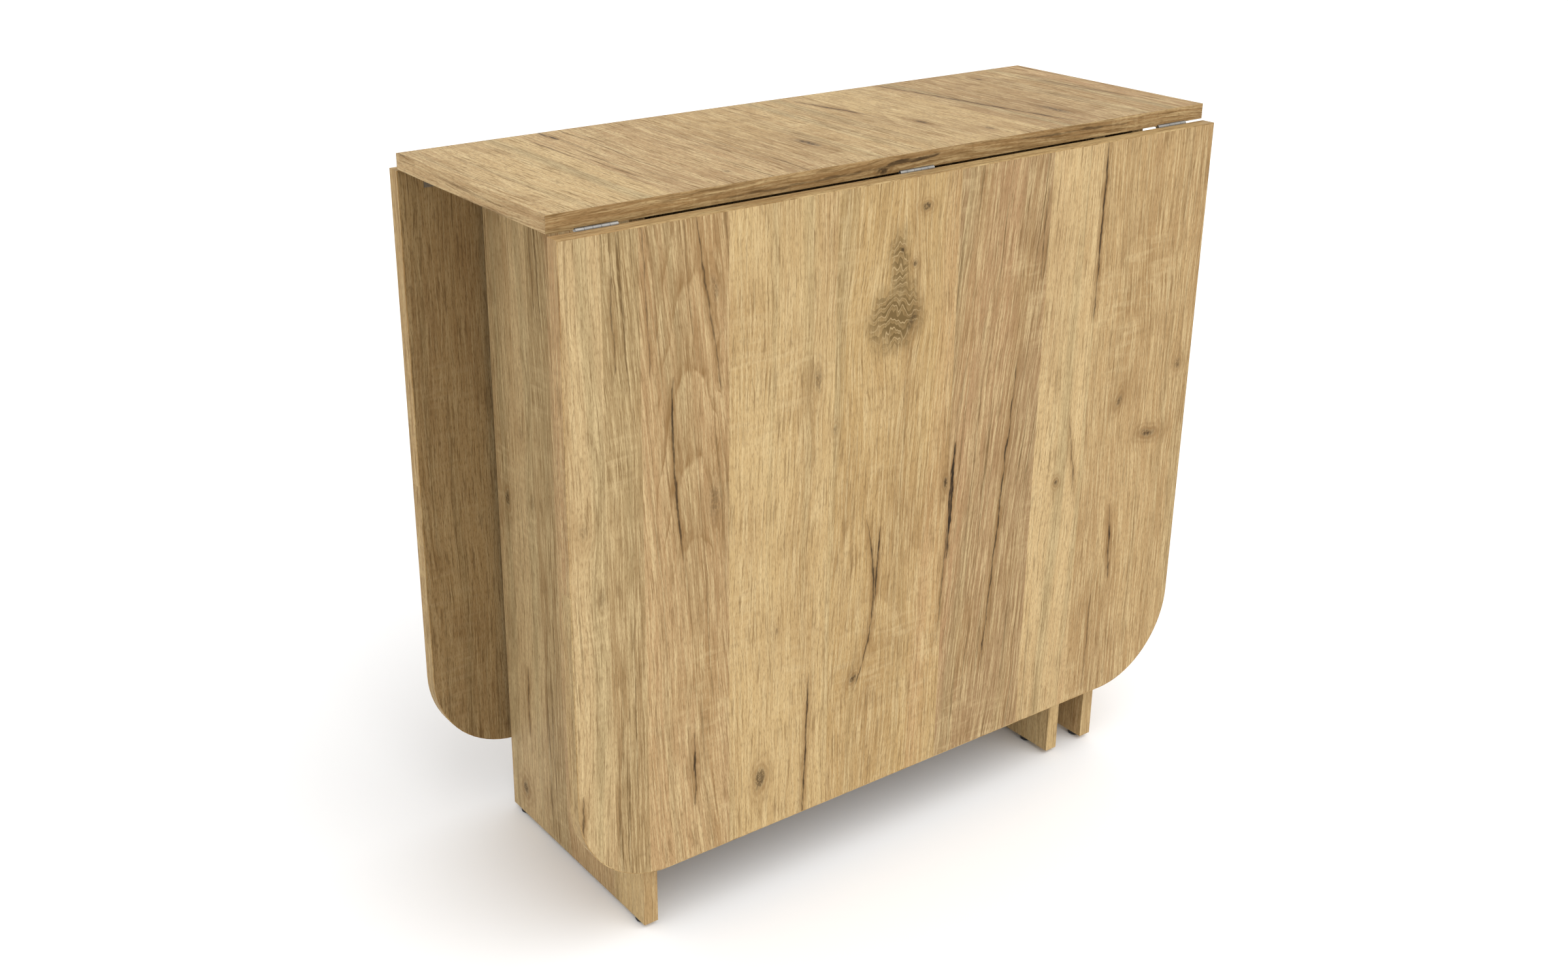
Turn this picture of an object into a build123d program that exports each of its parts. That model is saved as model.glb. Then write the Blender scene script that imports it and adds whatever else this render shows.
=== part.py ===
from build123d import *
import os

# Gateleg table, folded: a narrow top on two end panels, with a long leaf hanging on each side
# and a hinged gate behind each leaf that swings out to carry it.
# The origin is on the floor below the middle of the top. X runs along the top, the front is -Y,
# and Z is up. Every back piece is its front piece turned half a turn about Z.
# Millimetres throughout.

# ---- overall sizes ----
length = 800.0              # top and leaves, along X
base_depth = 280.0          # top, along Y
height = 750.0              # floor to the face of the top
leaf_floor_gap = 82.5       # floor to the bottom edge of a hanging leaf

# ---- boards ----
board = 16.0                # thickness of every laminated board
band = 1.0                  # thickness of the edge bands
band_round = 0.4            # rounding of the bands' outer edges
leaf_corner_radius = 100.0  # free corners of a leaf
panel_inset = 84.0          # end of the top to the outer face of an end panel
panel_setback = 5.5         # front of the top to the front edge of an end panel
stretcher_height = 100.0    # both stretchers
lower_stretcher_floor = 110.0  # floor to the lower stretcher

# ---- leaf hinges: three on each long side, knuckles in the joint ----
leaf_joint_gap = 1.5        # underside of the top to the top edge of a hanging leaf
leaf_hang_offset = 1.5      # edge of the top to the inner face of a hanging leaf
leaf_open_gap = 0.8         # edge of the top to the edge of a raised leaf
hinge_inset = 48.0          # end of the top to the middle of the outer hinges
hinge_length = 42.0
hinge_plate_width = 20.0
hinge_plate = 1.2           # sheet thickness
hinge_knuckle_radius = 2.2
hinge_pin_radius = 1.0
hinge_knuckles = 5
hinge_screw_spacing = 24.0
hinge_screw_reach = 12.0    # hinge axis to the line of its screws
knuckle_relief = 0.25       # room round a knuckle, in the boards and in the other plate

# ---- gates ----
gate_leg_width = 80.0       # across the leg board
gate_leg_gap = 40.0         # leg board to the end panel beside it
gate_top_gap = 1.0          # underside of the top to the top of the leg board
gate_rail_drop = 2.0        # top of the leg board to the top of the rails
gate_rail_height = 80.0
gate_lower_rail_floor = 120.0
gate_stile_width = 60.0
gate_stile_gap = 3.0        # stile to the end panel that it hangs on
gate_hinge_length = 60.0
gate_hinge_plate_width = 22.0
gate_hinge_plate = 1.5
gate_knuckle_radius = 3.0
gate_pin_radius = 1.5
gate_knuckles = 3
gate_knuckle_seat = 3.2     # hinge axis to the boards on both sides of it
gate_hinge_screw_spacing = 36.0
gate_screw_reach = 13.0     # gate hinge axis to the line of its screws

# ---- feet ----
foot_height = 5.0
glide_radius = 7.5
glide_edge_round = 1.5
foot_inset = 16.5           # edge of an end panel to the middle of its glide
nail_radius = 1.0
nail_head_radius = 3.0
nail_head = 1.0
nail_length = 18.0
nail_sink = 2.0             # top of a glide to the head of its nail

# ---- fixings ----
bore_clearance = 0.05       # every bore over what runs or sits in it
screw_shank_radius = 1.4
screw_length = 13.0
screw_tip = 2.0
recess_width = 0.5
recess_depth = 0.7
dowel_radius = 4.0
dowel_chamfer = 0.6
dowel_in_edge = 20.0
dowel_in_face = 10.0
dowel_spread = 64.0         # across the two dowels at a stretcher's end
panel_dowel_spread = 96.0   # across the two dowels in a panel's top edge
rail_dowel_spread = 40.0    # across the two dowels at a gate rail's end
cam_radius = 7.5
cam_depth = 12.5
cam_setback = 34.0          # face of the joint to the middle of the cam
panel_cam_inset = 55.0      # edge of an end panel to the middle of its cam
bolt_radius = 3.0
bolt_head_radius = 3.4
bolt_head = 2.5
cam_slot_width = 1.2
cam_slot_depth = 2.0

# ---- places worked out from the sizes ----
underside = height - board
half_length = length / 2
half_depth = base_depth / 2
panel_outer = half_length - panel_inset
panel_inner = panel_outer - board
panel_edge = half_depth - panel_setback
panel_cam_y = panel_edge - panel_cam_inset
leaf_top = underside - leaf_joint_gap
leaf_drop = leaf_top - leaf_floor_gap
leaf_inner_face = half_depth + leaf_hang_offset
# the axis that turns a hanging leaf into one flush with the top, leaf_open_gap away from it
leaf_axis_y = -half_depth + (leaf_joint_gap - leaf_open_gap - leaf_hang_offset) / 2
leaf_axis_z = underside - (leaf_joint_gap - leaf_open_gap + leaf_hang_offset) / 2
both_leaf_axes = [leaf_axis_y, -leaf_axis_y]
hinge_centres = [-(half_length - hinge_inset), 0.0, half_length - hinge_inset]
# left and right as someone facing that side of the table sees them
hinge_names = ["left", "middle", "right"]

leg_outer = panel_inner - gate_leg_gap
leg_inner = leg_outer - board
leg_middle_x = leg_outer - board / 2
leg_front = -panel_edge
leg_rear = leg_front + gate_leg_width
leg_middle_y = (leg_front + leg_rear) / 2
leg_top = underside - gate_top_gap
rail_top = leg_top - gate_rail_drop
rail_front = leg_middle_y - board / 2
stile_left = -panel_inner + gate_stile_gap
stile_right = stile_left + gate_stile_width
gate_axis_x = -panel_inner + gate_knuckle_seat
gate_axis_y = rail_front - gate_knuckle_seat
gate_rail_middles = [gate_lower_rail_floor + gate_rail_height / 2, rail_top - gate_rail_height / 2]
stretcher_middles = [
    lower_stretcher_floor + stretcher_height / 2,
    underside - stretcher_height / 2,
]
screw_head_radius = screw_shank_radius + hinge_plate
sides = {"front": 0, "back": 180}

os.makedirs("parts", exist_ok=True)


def save(piece, name):
    """Labels a finished piece and writes it as its own file."""
    piece.label = name
    export_step(piece, f"parts/{name}.step")


def save_both_sides(piece, name):
    """Writes a front piece and the same piece turned round to the back."""
    for side, turn in sides.items():
        save(piece.rotate(Axis.Z, turn), f"{side}_{name}")


def seats(points, outward):
    """Places for fixings: +Z of each place points out of the surface that the fixing goes into."""
    return [Plane(origin=point, z_dir=outward).location for point in points]


def turned(places):
    """The same places turned round to the back of the table."""
    return [Location((0, 0, 0), (0, 0, 180)) * place for place in places]


def between(places, low, high):
    """The places whose height lies between two heights."""
    return [place for place in places if low < place.position.Z < high]


def low_box(x, y, z, size_x, size_y, size_z):
    """A box from its lowest corner."""
    with Locations((x, y, z)):
        Box(size_x, size_y, size_z, align=Align.MIN)


def drill(places, radius, depth):
    """Blind holes that go down from each place."""
    with Locations(*places):
        Cylinder(radius, depth, align=(Align.CENTER, Align.CENTER, Align.MAX), mode=Mode.SUBTRACT)


def group(piece, places):
    """One node of equal pieces, one at each place."""
    with BuildPart() as pieces:
        with Locations(*places):
            add(piece)
    return pieces.part


def barrel(radius, long, mode=Mode.ADD):
    """A round bar along X about the current place."""
    Cylinder(radius, long, rotation=(0, 90, 0), mode=mode)


# ==== where the fixings go ====

top_screws = seats(
    [
        (middle + offset, leaf_axis_y + hinge_screw_reach, underside - hinge_plate)
        for middle in hinge_centres
        for offset in (-hinge_screw_spacing / 2, hinge_screw_spacing / 2)
    ],
    (0, 0, -1),
)
leaf_screws = seats(
    [
        (middle + offset, -leaf_inner_face + hinge_plate, leaf_axis_z - hinge_screw_reach)
        for middle in hinge_centres
        for offset in (-hinge_screw_spacing / 2, hinge_screw_spacing / 2)
    ],
    (0, 1, 0),
)

gate_screw_heights = [
    middle + offset
    for middle in gate_rail_middles
    for offset in (-gate_hinge_screw_spacing / 2, gate_hinge_screw_spacing / 2)
]
post_screws = seats(
    [
        (-panel_inner + gate_hinge_plate, gate_axis_y - gate_screw_reach, z)
        for z in gate_screw_heights
    ],
    (1, 0, 0),
)
stile_screws = seats(
    [
        (gate_axis_x + gate_screw_reach, rail_front - gate_hinge_plate, z)
        for z in gate_screw_heights
    ],
    (0, -1, 0),
)

# joints between boards: each place is on the joint's face, +Z pointing into the board that is
# met face on, and -Z running down into the edge of the other board
stretcher_bolt_ends = [
    Plane(origin=(end * panel_inner, 0, z), z_dir=(end, 0, 0)).location
    for end in (-1, 1)
    for z in stretcher_middles
]
stretcher_dowel_ends = [
    Plane(origin=(end * panel_inner, 0, z + offset), z_dir=(end, 0, 0)).location
    for end in (-1, 1)
    for z in stretcher_middles
    for offset in (-dowel_spread / 2, dowel_spread / 2)
]
panel_middle_x = panel_inner + board / 2
top_bolt_ends = [
    Plane(origin=(end * panel_middle_x, y, underside), z_dir=(0, 0, 1)).location
    for end in (-1, 1)
    for y in (-panel_cam_y, panel_cam_y)
]
top_dowel_ends = [
    Plane(origin=(end * panel_middle_x, y, underside), z_dir=(0, 0, 1)).location
    for end in (-1, 1)
    for y in (-panel_dowel_spread / 2, panel_dowel_spread / 2)
]
rail_dowel_ends = [
    Plane(origin=(leg_inner, leg_middle_y, z + offset), z_dir=(1, 0, 0)).location
    for z in gate_rail_middles
    for offset in (-rail_dowel_spread / 2, rail_dowel_spread / 2)
]
stile_dowel_ends = [
    Plane(origin=(stile_right, leg_middle_y, z + offset), z_dir=(-1, 0, 0)).location
    for z in gate_rail_middles
    for offset in (-rail_dowel_spread / 2, rail_dowel_spread / 2)
]
# cam seats: on the face that the cam is let into
stretcher_cams = seats(
    [
        (end * (panel_inner - cam_setback), board / 2, z)
        for end in (-1, 1)
        for z in stretcher_middles
    ],
    (0, 1, 0),
)
left_panel_cams = seats(
    [
        (-panel_inner, y, underside - cam_setback)
        for y in (-panel_cam_y, panel_cam_y)
    ],
    (1, 0, 0),
)
panel_cams = left_panel_cams + turned(left_panel_cams)
glide_places = [
    Location((x, y, foot_height))
    for x in (-panel_middle_x, panel_middle_x)
    for y in (-panel_edge + foot_inset, panel_edge - foot_inset)
]
gate_glide_places = [Location((leg_middle_x, leg_middle_y, foot_height))]


def drill_joint_faces(places, radius):
    """Holes in the board that a joint meets face on."""
    with Locations(*places):
        Cylinder(
            radius + bore_clearance,
            dowel_in_face + bore_clearance,
            align=(Align.CENTER, Align.CENTER, Align.MIN),
            mode=Mode.SUBTRACT,
        )


def drill_joint_edges(places, radius, depth):
    """Holes down into the edge of the other board of a joint."""
    drill(places, radius + bore_clearance, depth + bore_clearance)


def drill_screws(places):
    """Pilot holes below screw heads that sit in a plate."""
    drill(places, screw_shank_radius + bore_clearance, screw_length + bore_clearance)


def drill_nails(places):
    """Holes up into a board for the nails of its glides."""
    with Locations(*places):
        Cylinder(
            nail_radius + bore_clearance,
            nail_length + bore_clearance,
            align=(Align.CENTER, Align.CENTER, Align.MIN),
            mode=Mode.SUBTRACT,
        )


def knuckle_notches(axis_ys):
    """Round notches for the leaf hinges' knuckles, about the leaf axes at these Y places."""
    with Locations(*[(middle, y, leaf_axis_z) for middle in hinge_centres for y in axis_ys]):
        barrel(
            hinge_knuckle_radius + knuckle_relief,
            hinge_length + 2 * knuckle_relief,
            mode=Mode.SUBTRACT,
        )


# ==== top ====

with BuildPart() as table_top:
    with Locations((0, 0, underside + board / 2)):
        Box(length - 2 * band, base_depth - 2 * band, board)
    knuckle_notches(both_leaf_axes)
    drill_screws(top_screws + turned(top_screws))
    drill_joint_faces(top_bolt_ends, bolt_radius)
    drill_joint_faces(top_dowel_ends, dowel_radius)
save(table_top.part, "table_top")

with BuildPart() as top_long_edge_bands:
    for y in (-1, 1):
        with Locations((0, y * (half_depth - band / 2), underside + board / 2)):
            Box(length, band, board)
    outer_edges = top_long_edge_bands.edges().filter_by(Axis.X).group_by(SortBy.DISTANCE)[-1]
    fillet(outer_edges, band_round)
    knuckle_notches(both_leaf_axes)
save(top_long_edge_bands.part, "top_long_edge_bands")

with BuildPart() as top_end_edge_bands:
    for x in (-1, 1):
        with Locations((x * (half_length - band / 2), 0, underside + board / 2)):
            Box(band, base_depth - 2 * band, board)
    end_edges = top_end_edge_bands.edges().filter_by(Axis.Y)
    fillet(end_edges.group_by(Axis.X)[0] + end_edges.group_by(Axis.X)[-1], band_round)
save(top_end_edge_bands.part, "top_end_edge_bands")

# ==== end panels ====

panel_height = underside - foot_height

with BuildPart() as left_end_panel:
    low_box(
        -panel_outer, -panel_edge + band, foot_height, board, 2 * (panel_edge - band), panel_height
    )
    drill_joint_faces(stretcher_bolt_ends, bolt_radius)
    drill_joint_faces(stretcher_dowel_ends, dowel_radius)
    drill_joint_edges(top_bolt_ends, bolt_head_radius, cam_setback)
    drill_joint_edges(top_dowel_ends, dowel_radius, dowel_in_edge)
    drill(panel_cams, cam_radius + bore_clearance, cam_depth + bore_clearance)
    drill_screws(post_screws)
    drill_nails(glide_places)
save(left_end_panel.part, "left_end_panel")
save(left_end_panel.part.rotate(Axis.Z, 180), "right_end_panel")

with BuildPart() as panel_edge_bands:
    for x in (-panel_outer, panel_inner):
        for y in (-panel_edge, panel_edge - band):
            low_box(x, y, foot_height, board, band, panel_height)
    upright_edges = panel_edge_bands.edges().filter_by(Axis.Z)
    fillet(upright_edges.group_by(Axis.Y)[0] + upright_edges.group_by(Axis.Y)[-1], band_round)
save(panel_edge_bands.part, "panel_edge_bands")

# ==== stretchers ====

stretcher_floors = [middle - stretcher_height / 2 for middle in stretcher_middles]
stretcher_names = ["lower_stretcher", "upper_stretcher"]
# the lower stretcher has a band above and below, the upper one only below
stretcher_tops = [band, 0.0]
for stretcher_name, floor, top_band in zip(stretcher_names, stretcher_floors, stretcher_tops):
    with BuildPart() as stretcher:
        low_box(
            -panel_inner,
            -board / 2,
            floor + band,
            2 * panel_inner,
            board,
            stretcher_height - band - top_band,
        )
        own_bolts = between(stretcher_bolt_ends, floor, floor + stretcher_height)
        own_dowels = between(stretcher_dowel_ends, floor, floor + stretcher_height)
        own_cams = between(stretcher_cams, floor, floor + stretcher_height)
        drill_joint_edges(own_bolts, bolt_head_radius, cam_setback)
        drill_joint_edges(own_dowels, dowel_radius, dowel_in_edge)
        drill(own_cams, cam_radius + bore_clearance, cam_depth + bore_clearance)
    save(stretcher.part, stretcher_name)

with BuildPart() as stretcher_edge_bands:
    for z in (
        stretcher_floors[0],
        stretcher_floors[0] + stretcher_height - band,
        stretcher_floors[1],
    ):
        low_box(-panel_inner, -board / 2, z, 2 * panel_inner, board, band)
save(stretcher_edge_bands.part, "stretcher_edge_bands")

# ==== leaves ====

with BuildPart() as leaf_board:
    with BuildSketch(Plane.XZ.offset(leaf_inner_face)) as leaf_face:
        with Locations((0, (leaf_top + leaf_floor_gap) / 2)):
            Rectangle(length, leaf_drop)
        fillet(leaf_face.vertices().sort_by(Axis.Y)[:2], leaf_corner_radius)
        offset(amount=-band, kind=Kind.INTERSECTION, mode=Mode.REPLACE)
    extrude(amount=board)
    knuckle_notches([leaf_axis_y])
    drill_screws(leaf_screws)
save_both_sides(leaf_board.part, "leaf_board")

with BuildPart() as leaf_edge_band:
    with BuildSketch(Plane.XZ.offset(leaf_inner_face)) as leaf_rim:
        with Locations((0, (leaf_top + leaf_floor_gap) / 2)):
            Rectangle(length, leaf_drop)
        fillet(leaf_rim.vertices().sort_by(Axis.Y)[:2], leaf_corner_radius)
    extrude(amount=board)
    fillet(leaf_edge_band.faces().filter_by(Axis.Y).edges(), band_round)
    with BuildSketch(Plane.XZ.offset(leaf_inner_face)) as leaf_core:
        with Locations((0, (leaf_top + leaf_floor_gap) / 2)):
            Rectangle(length, leaf_drop)
        fillet(leaf_core.vertices().sort_by(Axis.Y)[:2], leaf_corner_radius)
        offset(amount=-band, kind=Kind.INTERSECTION, mode=Mode.REPLACE)
    extrude(amount=board, mode=Mode.SUBTRACT)
    knuckle_notches([leaf_axis_y])
save_both_sides(leaf_edge_band.part, "leaf_edge_band")

# ==== leaf hinges ====


def hinge_spans(long, count, parity):
    """Middles of the knuckles of one plate, along a hinge of equal knuckles."""
    pitch = long / count
    return [(n - (count - 1) / 2) * pitch for n in range(parity, count, 2)]


knuckle_length = hinge_length / hinge_knuckles
fixed_knuckles = hinge_spans(hinge_length, hinge_knuckles, 0)
moving_knuckles = hinge_spans(hinge_length, hinge_knuckles, 1)


def shape_leaf_knuckles(middle, own, other):
    """Adds a plate's own knuckles, clears the other plate's, and bores the pin's hole."""
    with Locations(*[(middle + x, leaf_axis_y, leaf_axis_z) for x in other]):
        barrel(
            hinge_knuckle_radius + knuckle_relief,
            knuckle_length + knuckle_relief,
            mode=Mode.SUBTRACT,
        )
    with Locations(*[(middle + x, leaf_axis_y, leaf_axis_z) for x in own]):
        barrel(hinge_knuckle_radius, knuckle_length - knuckle_relief)
    with Locations((middle, leaf_axis_y, leaf_axis_z)):
        barrel(hinge_pin_radius + bore_clearance, hinge_length, mode=Mode.SUBTRACT)


def countersink(places):
    """Countersunk holes through a hinge plate."""
    with Locations(*places):
        CounterSinkHole(
            screw_shank_radius + bore_clearance,
            screw_head_radius + bore_clearance,
            depth=screw_length,
        )


def own_places(places, middle, reach):
    """The places that belong to the hinge about one middle along X."""
    return [place for place in places if abs(place.position.X - middle) < reach]


for hinge_name, middle in zip(hinge_names, hinge_centres):
    with BuildPart() as fixed_plate:
        low_box(
            middle - hinge_length / 2,
            leaf_axis_y,
            underside - hinge_plate,
            hinge_length,
            hinge_plate_width,
            hinge_plate,
        )
        shape_leaf_knuckles(middle, fixed_knuckles, moving_knuckles)
        countersink(own_places(top_screws, middle, hinge_length / 2))
    save_both_sides(fixed_plate.part, f"{hinge_name}_hinge_top_plate")

    with BuildPart() as moving_plate:
        low_box(
            middle - hinge_length / 2,
            -leaf_inner_face,
            leaf_axis_z - hinge_plate_width,
            hinge_length,
            hinge_plate,
            hinge_plate_width,
        )
        shape_leaf_knuckles(middle, moving_knuckles, fixed_knuckles)
        countersink(own_places(leaf_screws, middle, hinge_length / 2))
    save_both_sides(moving_plate.part, f"{hinge_name}_hinge_leaf_plate")

with BuildPart() as leaf_hinge_pins:
    with Locations(*[(middle, y, leaf_axis_z) for middle in hinge_centres for y in both_leaf_axes]):
        barrel(hinge_pin_radius, hinge_length)
save(leaf_hinge_pins.part, "leaf_hinge_pins")

# ==== screws ====

with BuildPart() as screw:
    with BuildSketch(Plane.XZ):
        with BuildLine():
            Polyline(
                (0, 0),
                (screw_head_radius, 0),
                (screw_shank_radius, -hinge_plate),
                (screw_shank_radius, screw_tip - screw_length),
                (0, -screw_length),
                close=True,
            )
        make_face()
    revolve(axis=Axis.Z)
    for turn in (0, 90):
        with Locations(Location((0, 0, 0), (0, 0, turn))):
            Box(
                screw_shank_radius * 2,
                recess_width,
                recess_depth,
                align=(Align.CENTER, Align.CENTER, Align.MAX),
                mode=Mode.SUBTRACT,
            )

save(group(screw.part, top_screws + turned(top_screws)), "top_hinge_screws")
save_both_sides(group(screw.part, leaf_screws), "leaf_hinge_screws")
save(group(screw.part, post_screws + turned(post_screws)), "post_hinge_screws")
save_both_sides(group(screw.part, stile_screws), "gate_hinge_screws")

# ==== gates ====

with BuildPart() as gate_leg:
    low_box(
        leg_inner,
        leg_front + band,
        foot_height,
        board,
        gate_leg_width - 2 * band,
        leg_top - foot_height,
    )
    drill_joint_faces(rail_dowel_ends, dowel_radius)
    drill_nails(gate_glide_places)
save_both_sides(gate_leg.part, "gate_leg")

rail_names = ["gate_lower_rail", "gate_upper_rail"]
for rail_name, middle in zip(rail_names, gate_rail_middles):
    with BuildPart() as rail:
        low_box(
            stile_right,
            rail_front,
            middle - gate_rail_height / 2 + band,
            leg_inner - stile_right,
            board,
            gate_rail_height - 2 * band,
        )
        own_dowels = between(
            rail_dowel_ends + stile_dowel_ends,
            middle - gate_rail_height / 2,
            middle + gate_rail_height / 2,
        )
        drill_joint_edges(own_dowels, dowel_radius, dowel_in_edge)
    save_both_sides(rail.part, rail_name)

with BuildPart() as gate_stile:
    low_box(
        stile_left + band,
        rail_front,
        gate_lower_rail_floor,
        gate_stile_width - band,
        board,
        rail_top - gate_lower_rail_floor,
    )
    drill_joint_faces(stile_dowel_ends, dowel_radius)
    drill_screws(stile_screws)
save_both_sides(gate_stile.part, "gate_stile")

with BuildPart() as gate_edge_bands:
    for y in (leg_front, leg_rear - band):
        low_box(leg_inner, y, foot_height, board, band, leg_top - foot_height)
    leg_edges = gate_edge_bands.edges().filter_by(Axis.Z)
    fillet(leg_edges.group_by(Axis.Y)[0] + leg_edges.group_by(Axis.Y)[-1], band_round)
    for middle in gate_rail_middles:
        for z in (middle - gate_rail_height / 2, middle + gate_rail_height / 2 - band):
            low_box(stile_right, rail_front, z, leg_inner - stile_right, board, band)
    low_box(
        stile_left, rail_front, gate_lower_rail_floor, band, board, rail_top - gate_lower_rail_floor
    )
save_both_sides(gate_edge_bands.part, "gate_edge_bands")

# ==== gate hinges ====

gate_knuckle_length = gate_hinge_length / gate_knuckles
post_knuckles = hinge_spans(gate_hinge_length, gate_knuckles, 0)
gate_own_knuckles = hinge_spans(gate_hinge_length, gate_knuckles, 1)


def shape_gate_knuckles(own, other):
    """Adds one plate's knuckles on both hinges of a gate, clears the other's, bores for the pins."""
    with Locations(*[(gate_axis_x, gate_axis_y, z + n) for z in gate_rail_middles for n in other]):
        Cylinder(
            gate_knuckle_radius + knuckle_relief,
            gate_knuckle_length + knuckle_relief,
            mode=Mode.SUBTRACT,
        )
    with Locations(*[(gate_axis_x, gate_axis_y, z + n) for z in gate_rail_middles for n in own]):
        Cylinder(gate_knuckle_radius, gate_knuckle_length - knuckle_relief)
    with Locations(*[(gate_axis_x, gate_axis_y, z) for z in gate_rail_middles]):
        Cylinder(gate_pin_radius + bore_clearance, gate_hinge_length, mode=Mode.SUBTRACT)


with BuildPart() as post_plates:
    for middle in gate_rail_middles:
        low_box(
            -panel_inner,
            gate_axis_y - gate_hinge_plate_width,
            middle - gate_hinge_length / 2,
            gate_hinge_plate,
            gate_hinge_plate_width,
            gate_hinge_length,
        )
    shape_gate_knuckles(post_knuckles, gate_own_knuckles)
    countersink(post_screws)
save_both_sides(post_plates.part, "gate_hinge_post_plates")

with BuildPart() as gate_plates:
    for middle in gate_rail_middles:
        low_box(
            gate_axis_x,
            rail_front - gate_hinge_plate,
            middle - gate_hinge_length / 2,
            gate_hinge_plate_width,
            gate_hinge_plate,
            gate_hinge_length,
        )
    shape_gate_knuckles(gate_own_knuckles, post_knuckles)
    countersink(stile_screws)
save_both_sides(gate_plates.part, "gate_hinge_gate_plates")

with BuildPart() as gate_hinge_pins:
    for turn in (1, -1):
        with Locations(*[(turn * gate_axis_x, turn * gate_axis_y, z) for z in gate_rail_middles]):
            Cylinder(gate_pin_radius, gate_hinge_length)
save(gate_hinge_pins.part, "gate_hinge_pins")

# ==== fixings inside the boards ====

with BuildPart() as dowel:
    dowel_length = dowel_in_edge + dowel_in_face
    with Locations((0, 0, dowel_in_face - dowel_length / 2)):
        Cylinder(dowel_radius, dowel_length)
    chamfer(dowel.edges().filter_by(GeomType.CIRCLE), dowel_chamfer)

save(group(dowel.part, stretcher_dowel_ends + top_dowel_ends), "frame_dowels")
save_both_sides(group(dowel.part, rail_dowel_ends + stile_dowel_ends), "gate_dowels")

with BuildPart() as cam_bolt:
    Cylinder(bolt_radius, dowel_in_face, align=(Align.CENTER, Align.CENTER, Align.MIN))
    Cylinder(
        bolt_radius, cam_setback - bolt_head, align=(Align.CENTER, Align.CENTER, Align.MAX)
    )
    with Locations((0, 0, bolt_head - cam_setback)):
        Cylinder(bolt_head_radius, bolt_head, align=(Align.CENTER, Align.CENTER, Align.MAX))
save(group(cam_bolt.part, stretcher_bolt_ends + top_bolt_ends), "cam_bolts")

with BuildPart() as cam_housings:
    cams = stretcher_cams + panel_cams
    with Locations(*cams):
        Cylinder(cam_radius, cam_depth, align=(Align.CENTER, Align.CENTER, Align.MAX))
    drill(stretcher_bolt_ends + top_bolt_ends, bolt_head_radius + bore_clearance, cam_setback)
    with Locations(*cams):
        Box(
            2 * cam_radius,
            cam_slot_width,
            cam_slot_depth,
            align=(Align.CENTER, Align.CENTER, Align.MAX),
            mode=Mode.SUBTRACT,
        )
save(cam_housings.part, "cam_housings")

# ==== feet: a plastic glide moulded round the head of a nail ====

with BuildPart() as nail:
    Cylinder(nail_radius, nail_length, align=(Align.CENTER, Align.CENTER, Align.MIN))
    Cylinder(nail_radius, nail_sink, align=(Align.CENTER, Align.CENTER, Align.MAX))
    with Locations((0, 0, -nail_sink)):
        Cylinder(nail_head_radius, nail_head, align=(Align.CENTER, Align.CENTER, Align.MAX))

with BuildPart() as glide:
    Cylinder(glide_radius, foot_height, align=(Align.CENTER, Align.CENTER, Align.MAX))
    fillet(glide.edges().filter_by(GeomType.CIRCLE).sort_by(Axis.Z)[0], glide_edge_round)
    drill([Location((0, 0, 0))], nail_radius + bore_clearance, nail_sink)
    drill(
        [Location((0, 0, bore_clearance - nail_sink))],
        nail_head_radius + bore_clearance,
        nail_head + 2 * bore_clearance,
    )

save(group(glide.part, glide_places), "panel_glides")
save(group(nail.part, glide_places), "panel_glide_nails")
save_both_sides(group(glide.part, gate_glide_places), "gate_glide")
save_both_sides(group(nail.part, gate_glide_places), "gate_glide_nail")
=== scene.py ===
"""Folded gateleg table in oak laminate: its finishes, its screws and the studio it stands in.

Lengths are metres. The origin is on the floor below the middle of the top, X runs along the
top, the front is -Y and Z is up. A printed board is read in print coordinates: u runs across
the grain and v along it.
"""

import logging
import math
from dataclasses import dataclass, field, fields
from enum import Enum
from typing import Union

import bpy
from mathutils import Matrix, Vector


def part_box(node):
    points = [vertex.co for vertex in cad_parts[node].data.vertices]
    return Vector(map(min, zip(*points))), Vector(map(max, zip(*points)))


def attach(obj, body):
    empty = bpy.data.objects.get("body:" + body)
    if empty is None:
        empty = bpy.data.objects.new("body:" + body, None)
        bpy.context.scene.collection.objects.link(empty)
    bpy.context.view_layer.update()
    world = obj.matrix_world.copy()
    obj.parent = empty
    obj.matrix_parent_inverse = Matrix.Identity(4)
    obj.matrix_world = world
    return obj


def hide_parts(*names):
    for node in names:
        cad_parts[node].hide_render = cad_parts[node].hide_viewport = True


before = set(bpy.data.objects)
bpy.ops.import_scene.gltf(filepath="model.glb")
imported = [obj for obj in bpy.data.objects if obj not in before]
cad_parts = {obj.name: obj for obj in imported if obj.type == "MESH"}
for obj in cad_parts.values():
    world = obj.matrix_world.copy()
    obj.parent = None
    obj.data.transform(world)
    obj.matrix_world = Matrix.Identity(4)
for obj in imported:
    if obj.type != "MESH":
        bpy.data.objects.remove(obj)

log = logging.getLogger("gateleg_table")

Socket = bpy.types.NodeSocket
Value = Union[float, tuple, Socket]
RGB = tuple[int, int, int]
Seats = list[tuple[Vector, Vector]]


def linear(red: int, green: int, blue: int) -> tuple[float, float, float, float]:
    """Turns an 8-bit sRGB colour into a linear one.

    Args:
        red: Red, 0 to 255.
        green: Green, 0 to 255.
        blue: Blue, 0 to 255.

    Returns:
        The colour with an alpha of 1.
    """
    shares = (value / 255 for value in (red, green, blue))
    return *(x / 12.92 if x <= 0.04045 else ((x + 0.055) / 1.055) ** 2.4 for x in shares), 1.0


# ---------------------------------------------------------------- nodes


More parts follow.
